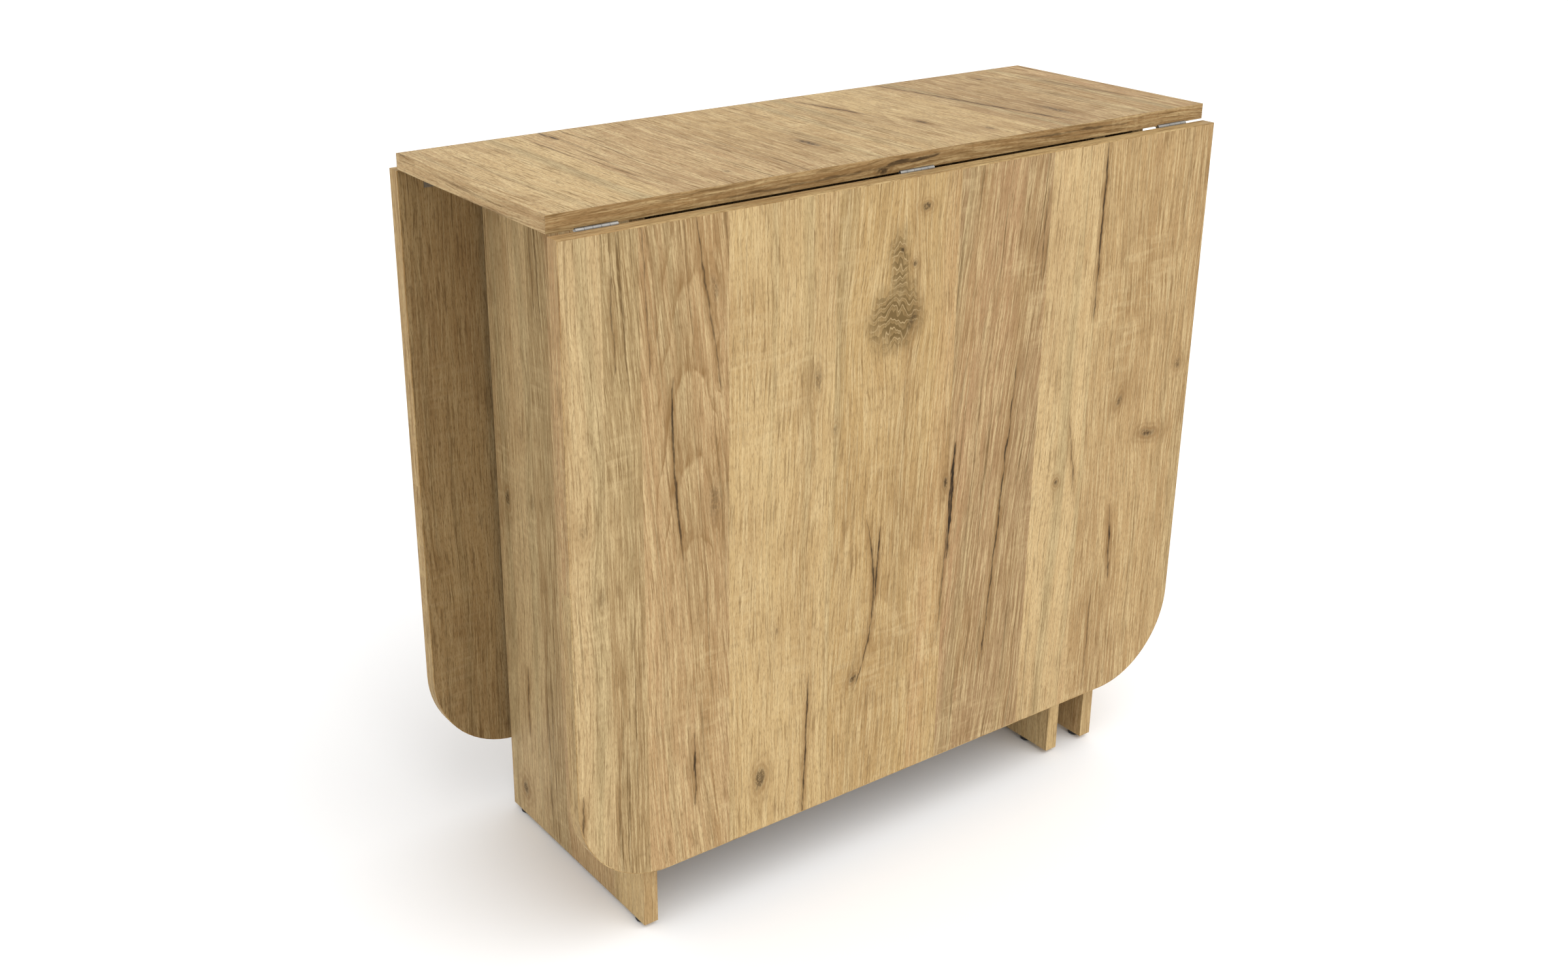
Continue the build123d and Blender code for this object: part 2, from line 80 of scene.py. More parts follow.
class Graph:
    """Adds and joins nodes in one node tree."""

    def __init__(self, tree: bpy.types.NodeTree) -> None:
        """Takes the tree that the nodes go into."""
        self.tree = tree

    def add(self, kind: str, **settings: object) -> bpy.types.Node:
        """Adds a node.

        Args:
            kind: The node's type name.
            settings: Properties to set on it.

        Returns:
            The node.
        """
        node = self.tree.nodes.new(kind)
        for name, value in settings.items():
            setattr(node, name, value)
        return node

    def feed(self, socket: Socket, value: Value) -> None:
        """Links a socket to another one, or sets its own value."""
        if isinstance(value, bpy.types.NodeSocket):
            self.tree.links.new(value, socket)
        else:
            socket.default_value = value

    def fed(self, kind: str, inputs: dict[Union[str, int], Value], **settings: object) -> bpy.types.Node:
        """Adds a node and feeds its inputs.

        Args:
            kind: The node's type name.
            inputs: What each input gets, by its name or number.
            settings: Properties to set on it.

        Returns:
            The node.
        """
        node = self.add(kind, **settings)
        for key, value in inputs.items():
            self.feed(node.inputs[key], value)
        return node

    def math(self, operation: str, a: Value, b: Value = 0.0, c: Value = 0.0) -> Socket:
        """Adds a Math node and returns its result."""
        return self.fed("ShaderNodeMath", {0: a, 1: b, 2: c}, operation=operation).outputs[0]

    def plus(self, a: Value, b: Value) -> Socket:
        """Returns a + b."""
        return self.math("ADD", a, b)

    def sub(self, a: Value, b: Value) -> Socket:
        """Returns a - b."""
        return self.math("SUBTRACT", a, b)

    def mul(self, a: Value, b: Value) -> Socket:
        """Returns a times b."""
        return self.math("MULTIPLY", a, b)

    def div(self, a: Value, b: Value) -> Socket:
        """Returns a over b."""
        return self.math("DIVIDE", a, b)

    def madd(self, a: Value, b: Value, c: Value) -> Socket:
        """Returns a times b, plus c."""
        return self.math("MULTIPLY_ADD", a, b, c)

    def size(self, a: Value) -> Socket:
        """Returns a without its sign."""
        return self.math("ABSOLUTE", a)

    def fade(self, value: Value, low: Value, high: Value) -> Socket:
        """Maps low..high onto 1..0 smoothly and clamps it."""
        return self.sub(1.0, self.spread(value, low, high))

    def clamp(self, value: Value) -> Socket:
        """Keeps a value between 0 and 1."""
        return self.fed("ShaderNodeClamp", {"Value": value}).outputs[0]

    def spread(self, value: Value, low: Value, high: Value, top: Value = 1.0) -> Socket:
        """Maps low..high onto 0..top smoothly and clamps it.

        Args:
            value: What is mapped.
            low: Where the result starts to rise from 0.
            high: Where it reaches the top.
            top: The result's largest value.

        Returns:
            The mapped value.
        """
        inputs = {"Value": value, "From Min": low, "From Max": high, "To Max": top}
        node = self.fed("ShaderNodeMapRange", inputs, interpolation_type="SMOOTHSTEP")
        return node.outputs["Result"]

    def split(self, vector: Socket) -> tuple[Socket, Socket, Socket]:
        """Splits a vector into its three numbers."""
        return tuple(self.fed("ShaderNodeSeparateXYZ", {0: vector}).outputs)

    def join(self, x: Value, y: Value, z: Value = 0.0) -> Socket:
        """Joins three numbers into a vector."""
        return self.fed("ShaderNodeCombineXYZ", {0: x, 1: y, 2: z}).outputs[0]

    def noise(self, vector: Socket, detail: float = 2.0, roughness: float = 0.5) -> Socket:
        """Adds a noise of unit scale and returns its value, 0 to 1."""
        inputs = {"Vector": vector, "Scale": 1.0, "Detail": detail, "Roughness": roughness}
        return self.fed("ShaderNodeTexNoise", inputs).outputs["Fac"]

    def stretched(
        self,
        place: tuple[Socket, Socket],
        scales: tuple[float, float],
        detail: float = 2.0,
        roughness: float = 0.5,
        start: float = 0.0,
    ) -> Socket:
        """Adds a noise with one scale across the grain and one along it, told apart by its start."""
        across, along = (self.mul(a, scale) for a, scale in zip(place, scales))
        return self.noise(self.join(across, along, start), detail, roughness)

    def mix(self, share: Value, a: Value, b: Value, blend: str = "MIX") -> Socket:
        """Lays the second colour on the first by a share of 0 to 1 and returns the result."""
        inputs = {0: share, 6: a, 7: b}
        return self.fed("ShaderNodeMix", inputs, data_type="RGBA", blend_type=blend).outputs[2]

    def steps(self, value: Socket, low: float, high: float, stops: list) -> Socket:
        """Picks a colour by steps.

        Args:
            value: What picks the colour.
            low: The value at the start of the first step.
            high: The value at the end of the last step.
            stops: Pairs of a step's start and its colour.

        Returns:
            The colour of the step that the value is in.
        """
        ramp = self.add("ShaderNodeValToRGB")
        ramp.color_ramp.interpolation = "CONSTANT"
        elements = ramp.color_ramp.elements
        while len(elements) > 1:
            elements.remove(elements[-1])
        for number, (start, colour) in enumerate(stops):
            place = (start - low) / (high - low)
            element = elements[0] if number == 0 else elements.new(place)
            element.position = place
            element.color = colour
        self.feed(ramp.inputs[0], self.div(self.sub(value, low), high - low))
        return ramp.outputs[0]


SOCKET_KINDS = {"float": "NodeSocketFloat", "vector": "NodeSocketVector", "colour": "NodeSocketColor"}


def new_socket(
    tree: bpy.types.NodeTree, label: str, way: str, kind: str, value: object = None
) -> None:
    """Gives a tree a named socket.

    Args:
        tree: The tree.
        label: The socket's name.
        way: INPUT or OUTPUT.
        kind: The socket's type name.
        value: Its value where nothing is joined to it, if it has one.
    """
    socket = tree.interface.new_socket(name=label, in_out=way, socket_type=kind)
    if value is not None:
        socket.default_value = value


class EffectGroup:
    """A shader node group that is built once and placed wherever its effect is wanted."""

    def __init__(self, name: str, inputs: dict[str, object], outputs: dict[str, str]) -> None:
        """Makes the group's named sockets.

        Args:
            name: The group's name.
            inputs: Each input's name and its value where nothing is joined to it.
            outputs: Each output's name and kind.
        """
        self.tree = bpy.data.node_groups.new(name, "ShaderNodeTree")
        for label, value in inputs.items():
            size = len(value) if isinstance(value, tuple) else 1
            kind = {1: "float", 3: "vector", 4: "colour"}[size]
            new_socket(self.tree, label, "INPUT", SOCKET_KINDS[kind], value)
        for label, kind in outputs.items():
            new_socket(self.tree, label, "OUTPUT", SOCKET_KINDS[kind])
        self.graph = Graph(self.tree)
        self.inputs = self.graph.add("NodeGroupInput").outputs
        self._results = self.graph.add("NodeGroupOutput").inputs

    def give(self, **results: Socket) -> None:
        """Joins results to the outputs of the same names, with _ for a space."""
        for label, socket in results.items():
            self.graph.feed(self._results[label.replace("_", " ")], socket)

    def place(self, graph: Graph, **values: Value) -> bpy.types.Node:
        """Places the group in a tree.

        Args:
            graph: The tree that gets it.
            values: The inputs to set or join, with _ for a space in their names.

        Returns:
            The group's node.
        """
        node = graph.add("ShaderNodeGroup", node_tree=self.tree)
        for label, value in values.items():
            graph.feed(node.inputs[label.replace("_", " ")], value)
        return node


# ---------------------------------------------------------------- the printed oak


@dataclass(frozen=True)
class Crack:
    """A thin dark split in the print, tapered to both ends."""

    centre_u: float
    centre_v: float
    reach: float
    half_width: float = 0.0011
    lean: float = 0.0
    depth: float = 1.0
    bow: float = 0.0


@dataclass(frozen=True)
class Knot:
    """A knot in the print, with the stain round it, or the cloud of a swirl."""

    centre_u: float
    centre_v: float
    width: float
    height: float
    depth: float = 1.0
    lean: float = 0.0


@dataclass(frozen=True)
class Arches:
    """A run of pointed arches in one plank, where the saw cut along the growth rings."""

    centre_u: float
    centre_v: float
    half_width: float
    reach: float
    pitch: float = 0.075
    depth: float = 1.0


Mark = Union[Crack, Knot, Arches]


@dataclass(frozen=True)
class Plank:
    """A plank of the print, from its left seam to the next one's."""

    left: float
    tint: RGB
    coarse: float = 0.5
    lean: float = 0.0


@dataclass(frozen=True)
class Streaks:
    """A noise drawn out along the grain, and the colour that it lays on the print."""

    scales: tuple[float, float]
    start: float
    low: float
    high: float
    strength: float = 1.0
    detail: float = 2.0
    colour: RGB = (0, 0, 0)
    roughness: float = 0.55


@dataclass(frozen=True)
class PrintFeatures:
    """What one part of the print shows besides its straight grain."""

    name: str
    cracks: tuple[Crack, ...]
    knots: tuple[Knot, ...]
    arches: tuple[Arches, ...]
    swirls: tuple[Knot, ...] = ()


PRINT_LEFT = -0.5
PRINT_RIGHT = 1.9
PLANKS = (
    Plank(-0.500, (202, 175, 133), 0.60),
    Plank(-0.362, (173, 148, 108), 1.35, -0.03),
    Plank(-0.330, (192, 160, 119), 0.80, -0.07),
    Plank(-0.231, (210, 181, 133), 0.25),
    Plank(-0.111, (197, 166, 117), 0.35, 0.03),
    Plank(0.036, (169, 139, 103), 1.10, 0.085),
    Plank(0.157, (214, 185, 139), 0.50, 0.03),
    Plank(0.236, (195, 164, 119), 0.45),
    Plank(0.430, (205, 175, 128), 0.35),
    Plank(0.600, (190, 159, 115), 0.60),
    Plank(0.760, (210, 181, 134), 0.45),
    Plank(0.916, (196, 165, 122), 0.95),
    Plank(1.055, (197, 166, 119), 0.50),
    Plank(1.235, (210, 181, 133), 0.30),
    Plank(1.370, (182, 150, 106), 0.65),
    Plank(1.520, (178, 144, 97), 0.70),
    Plank(1.640, (196, 165, 114), 0.60),
)

LEAF_PRINT = PrintFeatures(
    name="leaf features",
    cracks=(
        Crack(-0.250, 0.652, 0.085, 0.0008, -0.17, 0.8),
        Crack(-0.315, 0.665, 0.072, 0.0007, -0.05, 0.6),
        Crack(-0.349, 0.650, 0.045, 0.0008, -0.03, 0.6),
        Crack(-0.284, 0.500, 0.092, 0.0013, -0.05, 1.0, -0.004),
        Crack(-0.269, 0.183, 0.042, 0.0013),
        Crack(-0.134, 0.155, 0.090, 0.0011, 0.035),
        Crack(-0.0465, 0.335, 0.048, 0.0010, 0.05),
        Crack(-0.068, 0.300, 0.096, 0.0010, 0.050, 0.9, 0.018),
        Crack(0.0495, 0.385, 0.066, 0.0026, 0.03, 1.2),
        Crack(0.044, 0.310, 0.090, 0.0010, 0.06, 0.7),
        Crack(0.1185, 0.345, 0.180, 0.0010, 0.075),
        Crack(0.2405, 0.645, 0.105, 0.0010, 0.01),
        Crack(0.2935, 0.273, 0.048, 0.0011, -0.08),
        Crack(0.224, 0.387, 0.058, 0.0007, -0.165, 0.6),
        Crack(0.271, 0.153, 0.062, 0.0008, 0.015, 0.6),
        Crack(0.159, 0.650, 0.050, 0.0006, 0.04, 0.7),
        Crack(-0.396, 0.155, 0.045, 0.0008, 0.03, 0.8),
    ),
    knots=(
        Knot(-0.127, 0.554, 0.007, 0.020, 0.45),
        Knot(-0.0734, 0.2188, 0.006, 0.007, 0.95, 0.5),
        Knot(-0.190, 0.1425, 0.010, 0.017, 0.85),
        Knot(0.3415, 0.393, 0.016, 0.008, 1.0, -0.5),
        Knot(0.290, 0.443, 0.007, 0.013, 0.85, 0.3),
        Knot(0.201, 0.368, 0.005, 0.006, 0.95),
        Knot(0.380, 0.467, 0.008, 0.009, 0.6),
        Knot(-0.384, 0.467, 0.007, 0.011, 0.30),
        Knot(-0.368, 0.395, 0.006, 0.016, 0.25),
        Knot(0.041, 0.408, 0.005, 0.013, 1.0),
        Knot(0.001, 0.702, 0.008, 0.005, 0.9),
        Knot(-0.028, 0.664, 0.003, 0.004, 0.9),
        Knot(-0.012, 0.648, 0.004, 0.005, 0.8),
        Knot(-0.419, 0.385, 0.007, 0.014, 0.9),
        Knot(-0.411, 0.039, 0.010, 0.014, 0.9),
        Knot(-0.171, 0.305, 0.004, 0.008, 0.4),
        Knot(-0.244, 0.462, 0.010, 0.030, 0.45, 0.1),
        Knot(-0.243, 0.664, 0.006, 0.020, 0.5, -0.1),
        Knot(-0.014, 0.590, 0.007, 0.016, 0.8, 0.3),
        Knot(-0.105, 0.500, 0.005, 0.010, 0.5),
    ),
    arches=(
        Arches(-0.270, 0.560, 0.042, 0.240, 0.085, 1.1),
        Arches(-0.050, 0.290, 0.070, 0.150, 0.060, 0.45),
        Arches(0.300, 0.560, 0.055, 0.180, 0.090, 0.5),
    ),
    swirls=(
        Knot(-0.034, 0.598, 0.030, 0.032, 1.2),
        Knot(-0.030, 0.650, 0.013, 0.034, 1.0),
    ),
)

TOP_PRINT = PrintFeatures(
    name="top features",
    cracks=(
        Crack(1.403, 0.407, 0.140, 0.0014, -0.17),
        Crack(1.262, 0.470, 0.050, 0.0013, -0.20),
        Crack(0.952, 0.520, 0.020, 0.0016, -0.02),
        Crack(1.560, 0.400, 0.060, 0.0010, -0.10, 0.8),
        Crack(1.075, 0.300, 0.060, 0.0009, 0.05, 0.5),
    ),
    knots=(
        Knot(1.141, 0.352, 0.008, 0.030, 0.9),
        Knot(1.294, 0.362, 0.006, 0.016, 0.9),
        Knot(1.330, 0.300, 0.006, 0.010, 0.6),
        Knot(1.450, 0.330, 0.009, 0.035, 0.8),
        Knot(1.010, 0.300, 0.006, 0.008, 0.5),
        Knot(1.500, 0.500, 0.006, 0.010, 0.7),
    ),
    arches=(
        Arches(1.120, 0.360, 0.060, 0.200, 0.060, 0.4),
        Arches(1.300, 0.450, 0.050, 0.200, 0.070, 0.5),
        Arches(1.470, 0.400, 0.060, 0.220, 0.060, 0.6),
    ),
)

BAND_PRINT = PrintFeatures(
    name="band features",
    cracks=(
        Crack(1.4850, -0.010, 0.040, 0.0026, 0.06, 0.9),
        Crack(1.4815, -0.130, 0.090, 0.0012, 0.01, 0.6),
        Crack(1.4860, 0.210, 0.080, 0.0012, -0.01, 0.6),
    ),
    knots=(Knot(1.4800, -0.040, 0.006, 0.012, 1.0),),
    arches=(Arches(1.4840, -0.10, 0.012, 0.400, 0.120, 0.8),),
)


class PrintedOak:
    """The oak print: its shared node groups, from single marks up to whole prints."""

    DARK = linear(58, 46, 33)
    BROWN = linear(146, 114, 74)
    OLIVE = linear(122, 100, 64)
    PALE = linear(214, 188, 146)
    DEPTH = linear(229, 226, 218)

    MARK = {"Vector": (0.0, 0.0, 0.0), "Wander": 0.0, "Centre U": 0.0, "Centre V": 0.0, "Depth": 1.0}

    CLOUDS = (
        Streaks((26.0, 1.0), 1.0, 0.50, 0.72, 0.50, 2.0, (170, 137, 94)),
        Streaks((8.0, 2.2), 45.0, 0.46, 0.68, 0.50, 3.0, (166, 134, 95)),
        Streaks((34.0, 0.7), 5.0, 0.52, 0.72, 0.60, 2.0, (168, 151, 113)),
        Streaks((18.0, 1.0), 9.0, 0.54, 0.72, 0.40, 2.0, (204, 163, 124)),
        Streaks((14.0, 6.0), 13.0, 0.50, 0.74, 0.46, 4.0, (160, 126, 82)),
        Streaks((190.0, 5.0), 17.0, 0.48, 0.70, 0.34, 4.0, (226, 201, 155)),
    )
    RIPPLE = Streaks((24.0, 120.0), 33.0, 0.46, 0.68, 0.32, 2.0, (228, 204, 160))
    RIPPLE_PATCH = Streaks((9.0, 6.0), 37.0, 0.50, 0.66)
    THIN_LINES = Streaks((230.0, 3.4), 21.0, 0.55, 0.67, 1.0, 5.0, (120, 97, 64))
    LINE_BREAKS = Streaks((620.0, 70.0), 41.0, 0.30, 0.62, 1.0, 3.0)
    PALE_LINES = Streaks((470.0, 15.0), 25.0, 0.44, 0.66, 0.52, 3.0, (234, 211, 166))
    PORES = Streaks((560.0, 24.0), 29.0, 0.52, 0.68, 1.0, 3.0, (122, 94, 58))
    PORE_SHARE = 0.54
    GRIT = Streaks((1100.0, 150.0), 0.0, 0.44, 0.72, 0.48, 2.0, (130, 102, 66), 0.6)
    SEAM = (120, 92, 60)
    SEAM_SHARE = 0.16

    SLOW_DRIFT = 0.030
    FINE_DRIFT = 0.0030
    PULL = 0.42
    PULL_WIDTHS = 1.5
    PULL_HEIGHTS = 1.9

    def __init__(self) -> None:
        """Builds the groups, each from the ones before it."""
        self.crack = self._build_crack()
        self.knot = self._build_knot()
        self.arches = self._build_arches()
        self.swirl = self._build_swirl()
        self.grain = self._build_grain()
        self.prints: dict[str, EffectGroup] = {}

    def _build_crack(self) -> EffectGroup:
        """Builds the mask of one crack and of the stain beside it."""
        inputs = {**self.MARK, "Reach": 0.1, "Half Width": 0.001, "Lean": 0.0, "Bow": 0.0}
        sideways, stain_width = 0.007, 0.008
        edge_start, edge_end = -0.0005, 0.0009
        narrowest, widening = 0.2975, 0.7225
        breaks_across, breaks_along, own_start = 260.0, 40.0, 97.0
        group = EffectGroup("printed crack", inputs, {"Line": "float", "Stain": "float"})
        g, sockets = group.graph, group.inputs
        u, v, _ = g.split(sockets["Vector"])
        along = g.sub(v, sockets["Centre V"])
        share = g.div(along, sockets["Reach"])
        inside = g.math("MAXIMUM", g.sub(1.0, g.mul(share, share)), 0.0)
        taper = g.math("SQRT", inside)
        middle = g.madd(along, sockets["Lean"], sockets["Centre U"])
        middle = g.madd(inside, sockets["Bow"], middle)
        middle = g.madd(sockets["Wander"], sideways, middle)
        off = g.size(g.sub(u, middle))
        run = g.madd(sockets["Centre U"], own_start, g.mul(v, breaks_along))
        breaks = g.noise(g.join(g.mul(u, breaks_across), run), 3.0, 0.6)
        strength = g.spread(breaks, 0.36, 0.62)
        open_part = g.madd(strength, widening, narrowest)
        half = g.mul(g.mul(sockets["Half Width"], taper), open_part)
        fade = g.mul(g.spread(taper, 0.0, 0.5), g.madd(strength, 0.35, 0.65))
        line = g.fade(g.sub(off, half), edge_start, edge_end)
        line = g.mul(g.mul(line, fade), sockets["Depth"])
        stain = g.fade(off, 0.0, stain_width)
        stain = g.mul(g.mul(stain, taper), sockets["Depth"])
        stain = g.mul(stain, g.madd(strength, 0.5, 0.7))
        group.give(Line=line, Stain=stain)
        return group

    def _build_knot(self) -> EffectGroup:
        """Builds the mask of one knot's heart and of the stain round it."""
        inputs = {**self.MARK, "Width": 0.01, "Height": 0.01, "Lean": 0.0}
        dent, ring_rate, ring_depth = 1.6, 9.0, 0.3
        group = EffectGroup("printed knot", inputs, {"Heart": "float", "Stain": "float"})
        g, sockets = group.graph, group.inputs
        u, v, _ = g.split(sockets["Vector"])
        up = g.sub(v, sockets["Centre V"])
        middle = g.madd(up, sockets["Lean"], sockets["Centre U"])
        across = g.div(g.sub(u, middle), sockets["Width"])
        up = g.div(up, sockets["Height"])
        away = g.math("SQRT", g.madd(across, across, g.mul(up, up)))
        away = g.madd(sockets["Wander"], dent, away)
        heart = g.fade(away, 0.15, 0.85)
        rings = g.madd(g.math("SINE", g.mul(away, ring_rate)), ring_depth, 1.0 - ring_depth)
        stain = g.mul(g.fade(away, 0.3, 2.6), rings)
        depth = sockets["Depth"]
        group.give(Heart=g.mul(heart, depth), Stain=g.mul(stain, depth))
        return group

    def _build_arches(self) -> EffectGroup:
        """Builds the mask of a run of arches: wide soft lines that point along the grain."""
        inputs = {**self.MARK, "Half Width": 0.05, "Reach": 0.2, "Pitch": 0.08}
        bending, sweep, steepness = 0.9, 1.2, 2.2
        group = EffectGroup("printed arches", inputs, {"Lines": "float"})
        g, sockets = group.graph, group.inputs
        u, v, _ = g.split(sockets["Vector"])
        across = g.div(g.sub(u, sockets["Centre U"]), sockets["Half Width"])
        bends = g.stretched((u, v), (30.0, 13.0), 2.0, 0.55)
        bends = g.sub(bends, 0.5)
        across = g.madd(bends, bending, across)
        arch = g.mul(g.mul(across, across), steepness)
        rise = g.plus(arch, g.div(v, sockets["Pitch"]))
        rise = g.madd(bends, bending, rise)
        rise = g.madd(sockets["Wander"], sweep, rise)
        share = g.math("FRACT", rise)
        fall = g.math("POWER", g.sub(1.0, share), steepness)
        lines = g.mul(fall, g.spread(share, 0.0, 0.10))
        inside = g.fade(g.size(across), 0.55, 1.25)
        end = g.div(g.sub(v, sockets["Centre V"]), sockets["Reach"])
        within = g.fade(g.size(end), 0.45, 1.1)
        lines = g.mul(g.mul(lines, inside), within)
        group.give(Lines=g.mul(lines, sockets["Depth"]))
        return group

    def _build_swirl(self) -> EffectGroup:
        """Builds the masks of a swirl: a dark cloud crossed by pale wavy lines."""
        inputs = {**self.MARK, "Width": 0.02, "Height": 0.03}
        dent, lines_in_metre, waviness, droop = 1.2, 105.0, 4.0, 0.9
        group = EffectGroup("printed swirl", inputs, {"Cloud": "float", "Pale": "float"})
        g, sockets = group.graph, group.inputs
        u, v, _ = g.split(sockets["Vector"])
        across = g.div(g.sub(u, sockets["Centre U"]), sockets["Width"])
        up = g.div(g.sub(v, sockets["Centre V"]), sockets["Height"])
        away = g.math("SQRT", g.madd(across, across, g.mul(up, up)))
        away = g.madd(sockets["Wander"], dent, away)
        cloud = g.fade(away, 0.35, 1.5)
        waves = g.stretched((u, v), (70.0, 24.0), 2.0, 0.55)
        level = g.madd(v, lines_in_metre, g.mul(waves, waviness))
        level = g.madd(g.size(across), droop, level)
        part = g.math("FRACT", level)
        ridge = g.size(g.sub(part, 0.5))
        pale = g.fade(ridge, 0.02, 0.10)
        inner = g.fade(away, 0.5, 1.15)
        shaded = g.madd(part, 0.5, 0.5)
        group.give(Cloud=g.mul(g.mul(cloud, shaded), sockets["Depth"]), Pale=g.mul(pale, inner))
        return group

    def _build_grain(self) -> EffectGroup:
        """Builds the straight grain: plank tints, streaks, fine lines and pores."""
        inputs = {"Vector": (0.0, 0.0, 0.0), "Flow": (0.0, 0.0, 0.0), "Contrast": 1.0}
        outputs = {"Color": "colour", "Pores": "float"}
        group = EffectGroup("oak grain", inputs, outputs)
        g, sockets = group.graph, group.inputs
        u, _, _ = g.split(sockets["Vector"])
        flow, v, _ = g.split(sockets["Flow"])
        contrast = sockets["Contrast"]
        tints = [(plank.left, linear(*plank.tint)) for plank in PLANKS]
        tint = g.steps(u, PRINT_LEFT, PRINT_RIGHT, tints)
        characters = []
        for number, plank in enumerate(PLANKS):
            shift = 2.0 * (number * 7 % len(PLANKS)) / len(PLANKS)
            characters.append((plank.left, (shift, plank.coarse, 0.5 - plank.lean, 1.0)))
        shift, coarse, lean = g.split(g.steps(u, PRINT_LEFT, PRINT_RIGHT, characters))
        own = g.madd(g.sub(lean, 0.5), v, g.plus(flow, shift))

        def mask(streaks: Streaks) -> Socket:
            """Returns where the streaks lie, from 0 to their strength."""
            fineness = (streaks.detail, streaks.roughness)
            value = g.stretched((own, v), streaks.scales, *fineness, streaks.start)
            return g.spread(value, streaks.low, streaks.high, streaks.strength)

        def lay(colour: Socket, where: Value, over: RGB) -> Socket:
            """Lays a colour over another by a mask and the print's contrast."""
            return g.mix(g.mul(where, contrast), colour, linear(*over))

        colour = tint
        for cloud in self.CLOUDS:
            colour = lay(colour, mask(cloud), cloud.colour)
        ripple = g.mul(mask(self.RIPPLE), mask(self.RIPPLE_PATCH))
        colour = lay(colour, ripple, self.RIPPLE.colour)
        thin = g.mul(mask(self.THIN_LINES), g.madd(mask(self.LINE_BREAKS), 0.7, 0.3))
        colour = lay(colour, g.mul(thin, coarse), self.THIN_LINES.colour)
        colour = lay(colour, mask(self.PALE_LINES), self.PALE_LINES.colour)
        pores = mask(self.PORES)
        colour = lay(colour, g.mul(pores, self.PORE_SHARE), self.PORES.colour)
        colour = lay(colour, mask(self.GRIT), self.GRIT.colour)
        nearest = 1.0
        for plank in PLANKS[1:]:
            off = g.size(g.sub(u, plank.left))
            nearest = g.math("MINIMUM", nearest, off)
        seams = g.fade(nearest, 0.0002, 0.0011)
        colour = lay(colour, g.mul(seams, self.SEAM_SHARE), self.SEAM)
        group.give(Color=colour, Pores=pores)
        return group

    @staticmethod
    def _placed(graph: Graph, kind: EffectGroup, mark: Mark, **joined: Socket) -> bpy.types.Node:
        """Places one mark.

        Args:
            graph: The tree of the print that gets it.
            kind: The group that draws such a mark.
            mark: The mark, whose fields are named as the group's inputs are.
            joined: Sockets to join to the inputs of the same names.

        Returns:
            The group's node.
        """
        node = kind.place(graph, **joined)
        for item in fields(mark):
            label = item.name.replace("_", " ").title()
            if label in node.inputs:
                node.inputs[label].default_value = getattr(mark, item.name)
        return node

    def print_with(self, features: PrintFeatures) -> EffectGroup:
        """Builds the whole print for one set of features, or returns it if it is built.

        Args:
            features: The cracks, knots, arches and swirls of this print.

        Returns:
            A group that turns print coordinates into colour and relief.
        """
        if features.name in self.prints:
            return self.prints[features.name]
        inputs = {"Vector": (0.0, 0.0, 0.0), "Contrast": 1.0}
        outputs = {"Color": "colour", "Pores": "float", "Relief": "float"}
        group = EffectGroup(f"oak print, {features.name}", inputs, outputs)
        g, vector = group.graph, group.inputs["Vector"]
        u, v, _ = g.split(vector)
        slow = g.stretched((u, v), (7.0, 2.2), 2.0, 0.5)
        wobble = g.stretched((u, v), (60.0, 28.0), 3.0, 0.6)
        wander = g.sub(wobble, 0.5)
        flow = g.madd(g.sub(slow, 0.5), self.SLOW_DRIFT, u)
        for knot in features.knots + features.swirls:
            across = g.div(g.sub(u, knot.centre_u), knot.width * self.PULL_WIDTHS)
            up = g.div(g.sub(v, knot.centre_v), knot.height * self.PULL_HEIGHTS)
            away = g.madd(across, across, g.mul(up, up))
            pull = g.mul(g.math("EXPONENT", g.mul(away, -1.0)), -self.PULL)
            flow = g.madd(pull, g.sub(u, knot.centre_u), flow)
        flow = g.madd(wander, self.FINE_DRIFT, flow)
        grain = self.grain.place(
            g, Vector=vector, Flow=g.join(flow, v), Contrast=group.inputs["Contrast"]
        )
        colour = grain.outputs["Color"]
        bands = 0.0
        for run in features.arches:
            node = self._placed(g, self.arches, run, Vector=vector, Wander=g.sub(slow, 0.5))
            bands = g.math("MAXIMUM", bands, node.outputs["Lines"])
        patchy = g.stretched((u, v), (190.0, 26.0), 4.0, 0.65)
        bands = g.mul(bands, g.spread(patchy, 0.25, 0.75))
        colour = g.mix(g.clamp(g.mul(bands, 1.3)), colour, self.BROWN)
        stains, hearts, lines = 0.0, 0.0, 0.0
        for knot in features.knots:
            node = self._placed(g, self.knot, knot, Vector=vector, Wander=wander)
            stains = g.math("MAXIMUM", stains, node.outputs["Stain"])
            hearts = g.math("MAXIMUM", hearts, node.outputs["Heart"])
        for crack in features.cracks:
            node = self._placed(g, self.crack, crack, Vector=vector, Wander=wander)
            stains = g.math("MAXIMUM", stains, node.outputs["Stain"])
            lines = g.math("MAXIMUM", lines, node.outputs["Line"])
        rough = g.madd(wander, 1.2, 0.80)
        colour = g.mix(g.clamp(g.mul(stains, rough)), colour, self.BROWN)
        for swirl in features.swirls:
            node = self._placed(g, self.swirl, swirl, Vector=vector, Wander=wander)
            colour = g.mix(g.clamp(node.outputs["Cloud"]), colour, self.OLIVE)
            colour = g.mix(g.mul(node.outputs["Pale"], 0.6), colour, self.PALE)
        speckle = g.stretched((u, v), (420.0, 300.0), 2.0, 0.6)
        hearts = g.mul(hearts, g.spread(speckle, 0.28, 0.55))
        marks = g.math("MAXIMUM", g.mul(hearts, 0.9), lines)
        colour = g.mix(g.mul(marks, 0.9), colour, self.DARK)
        colour = g.mix(1.0, colour, self.DEPTH, "MULTIPLY")
        pressed = g.stretched((u, v), (640.0, 48.0), 2.0, 0.55)
        relief = g.fade(pressed, 0.54, 0.70)
        group.give(Color=colour, Pores=grain.outputs["Pores"], Relief=relief)
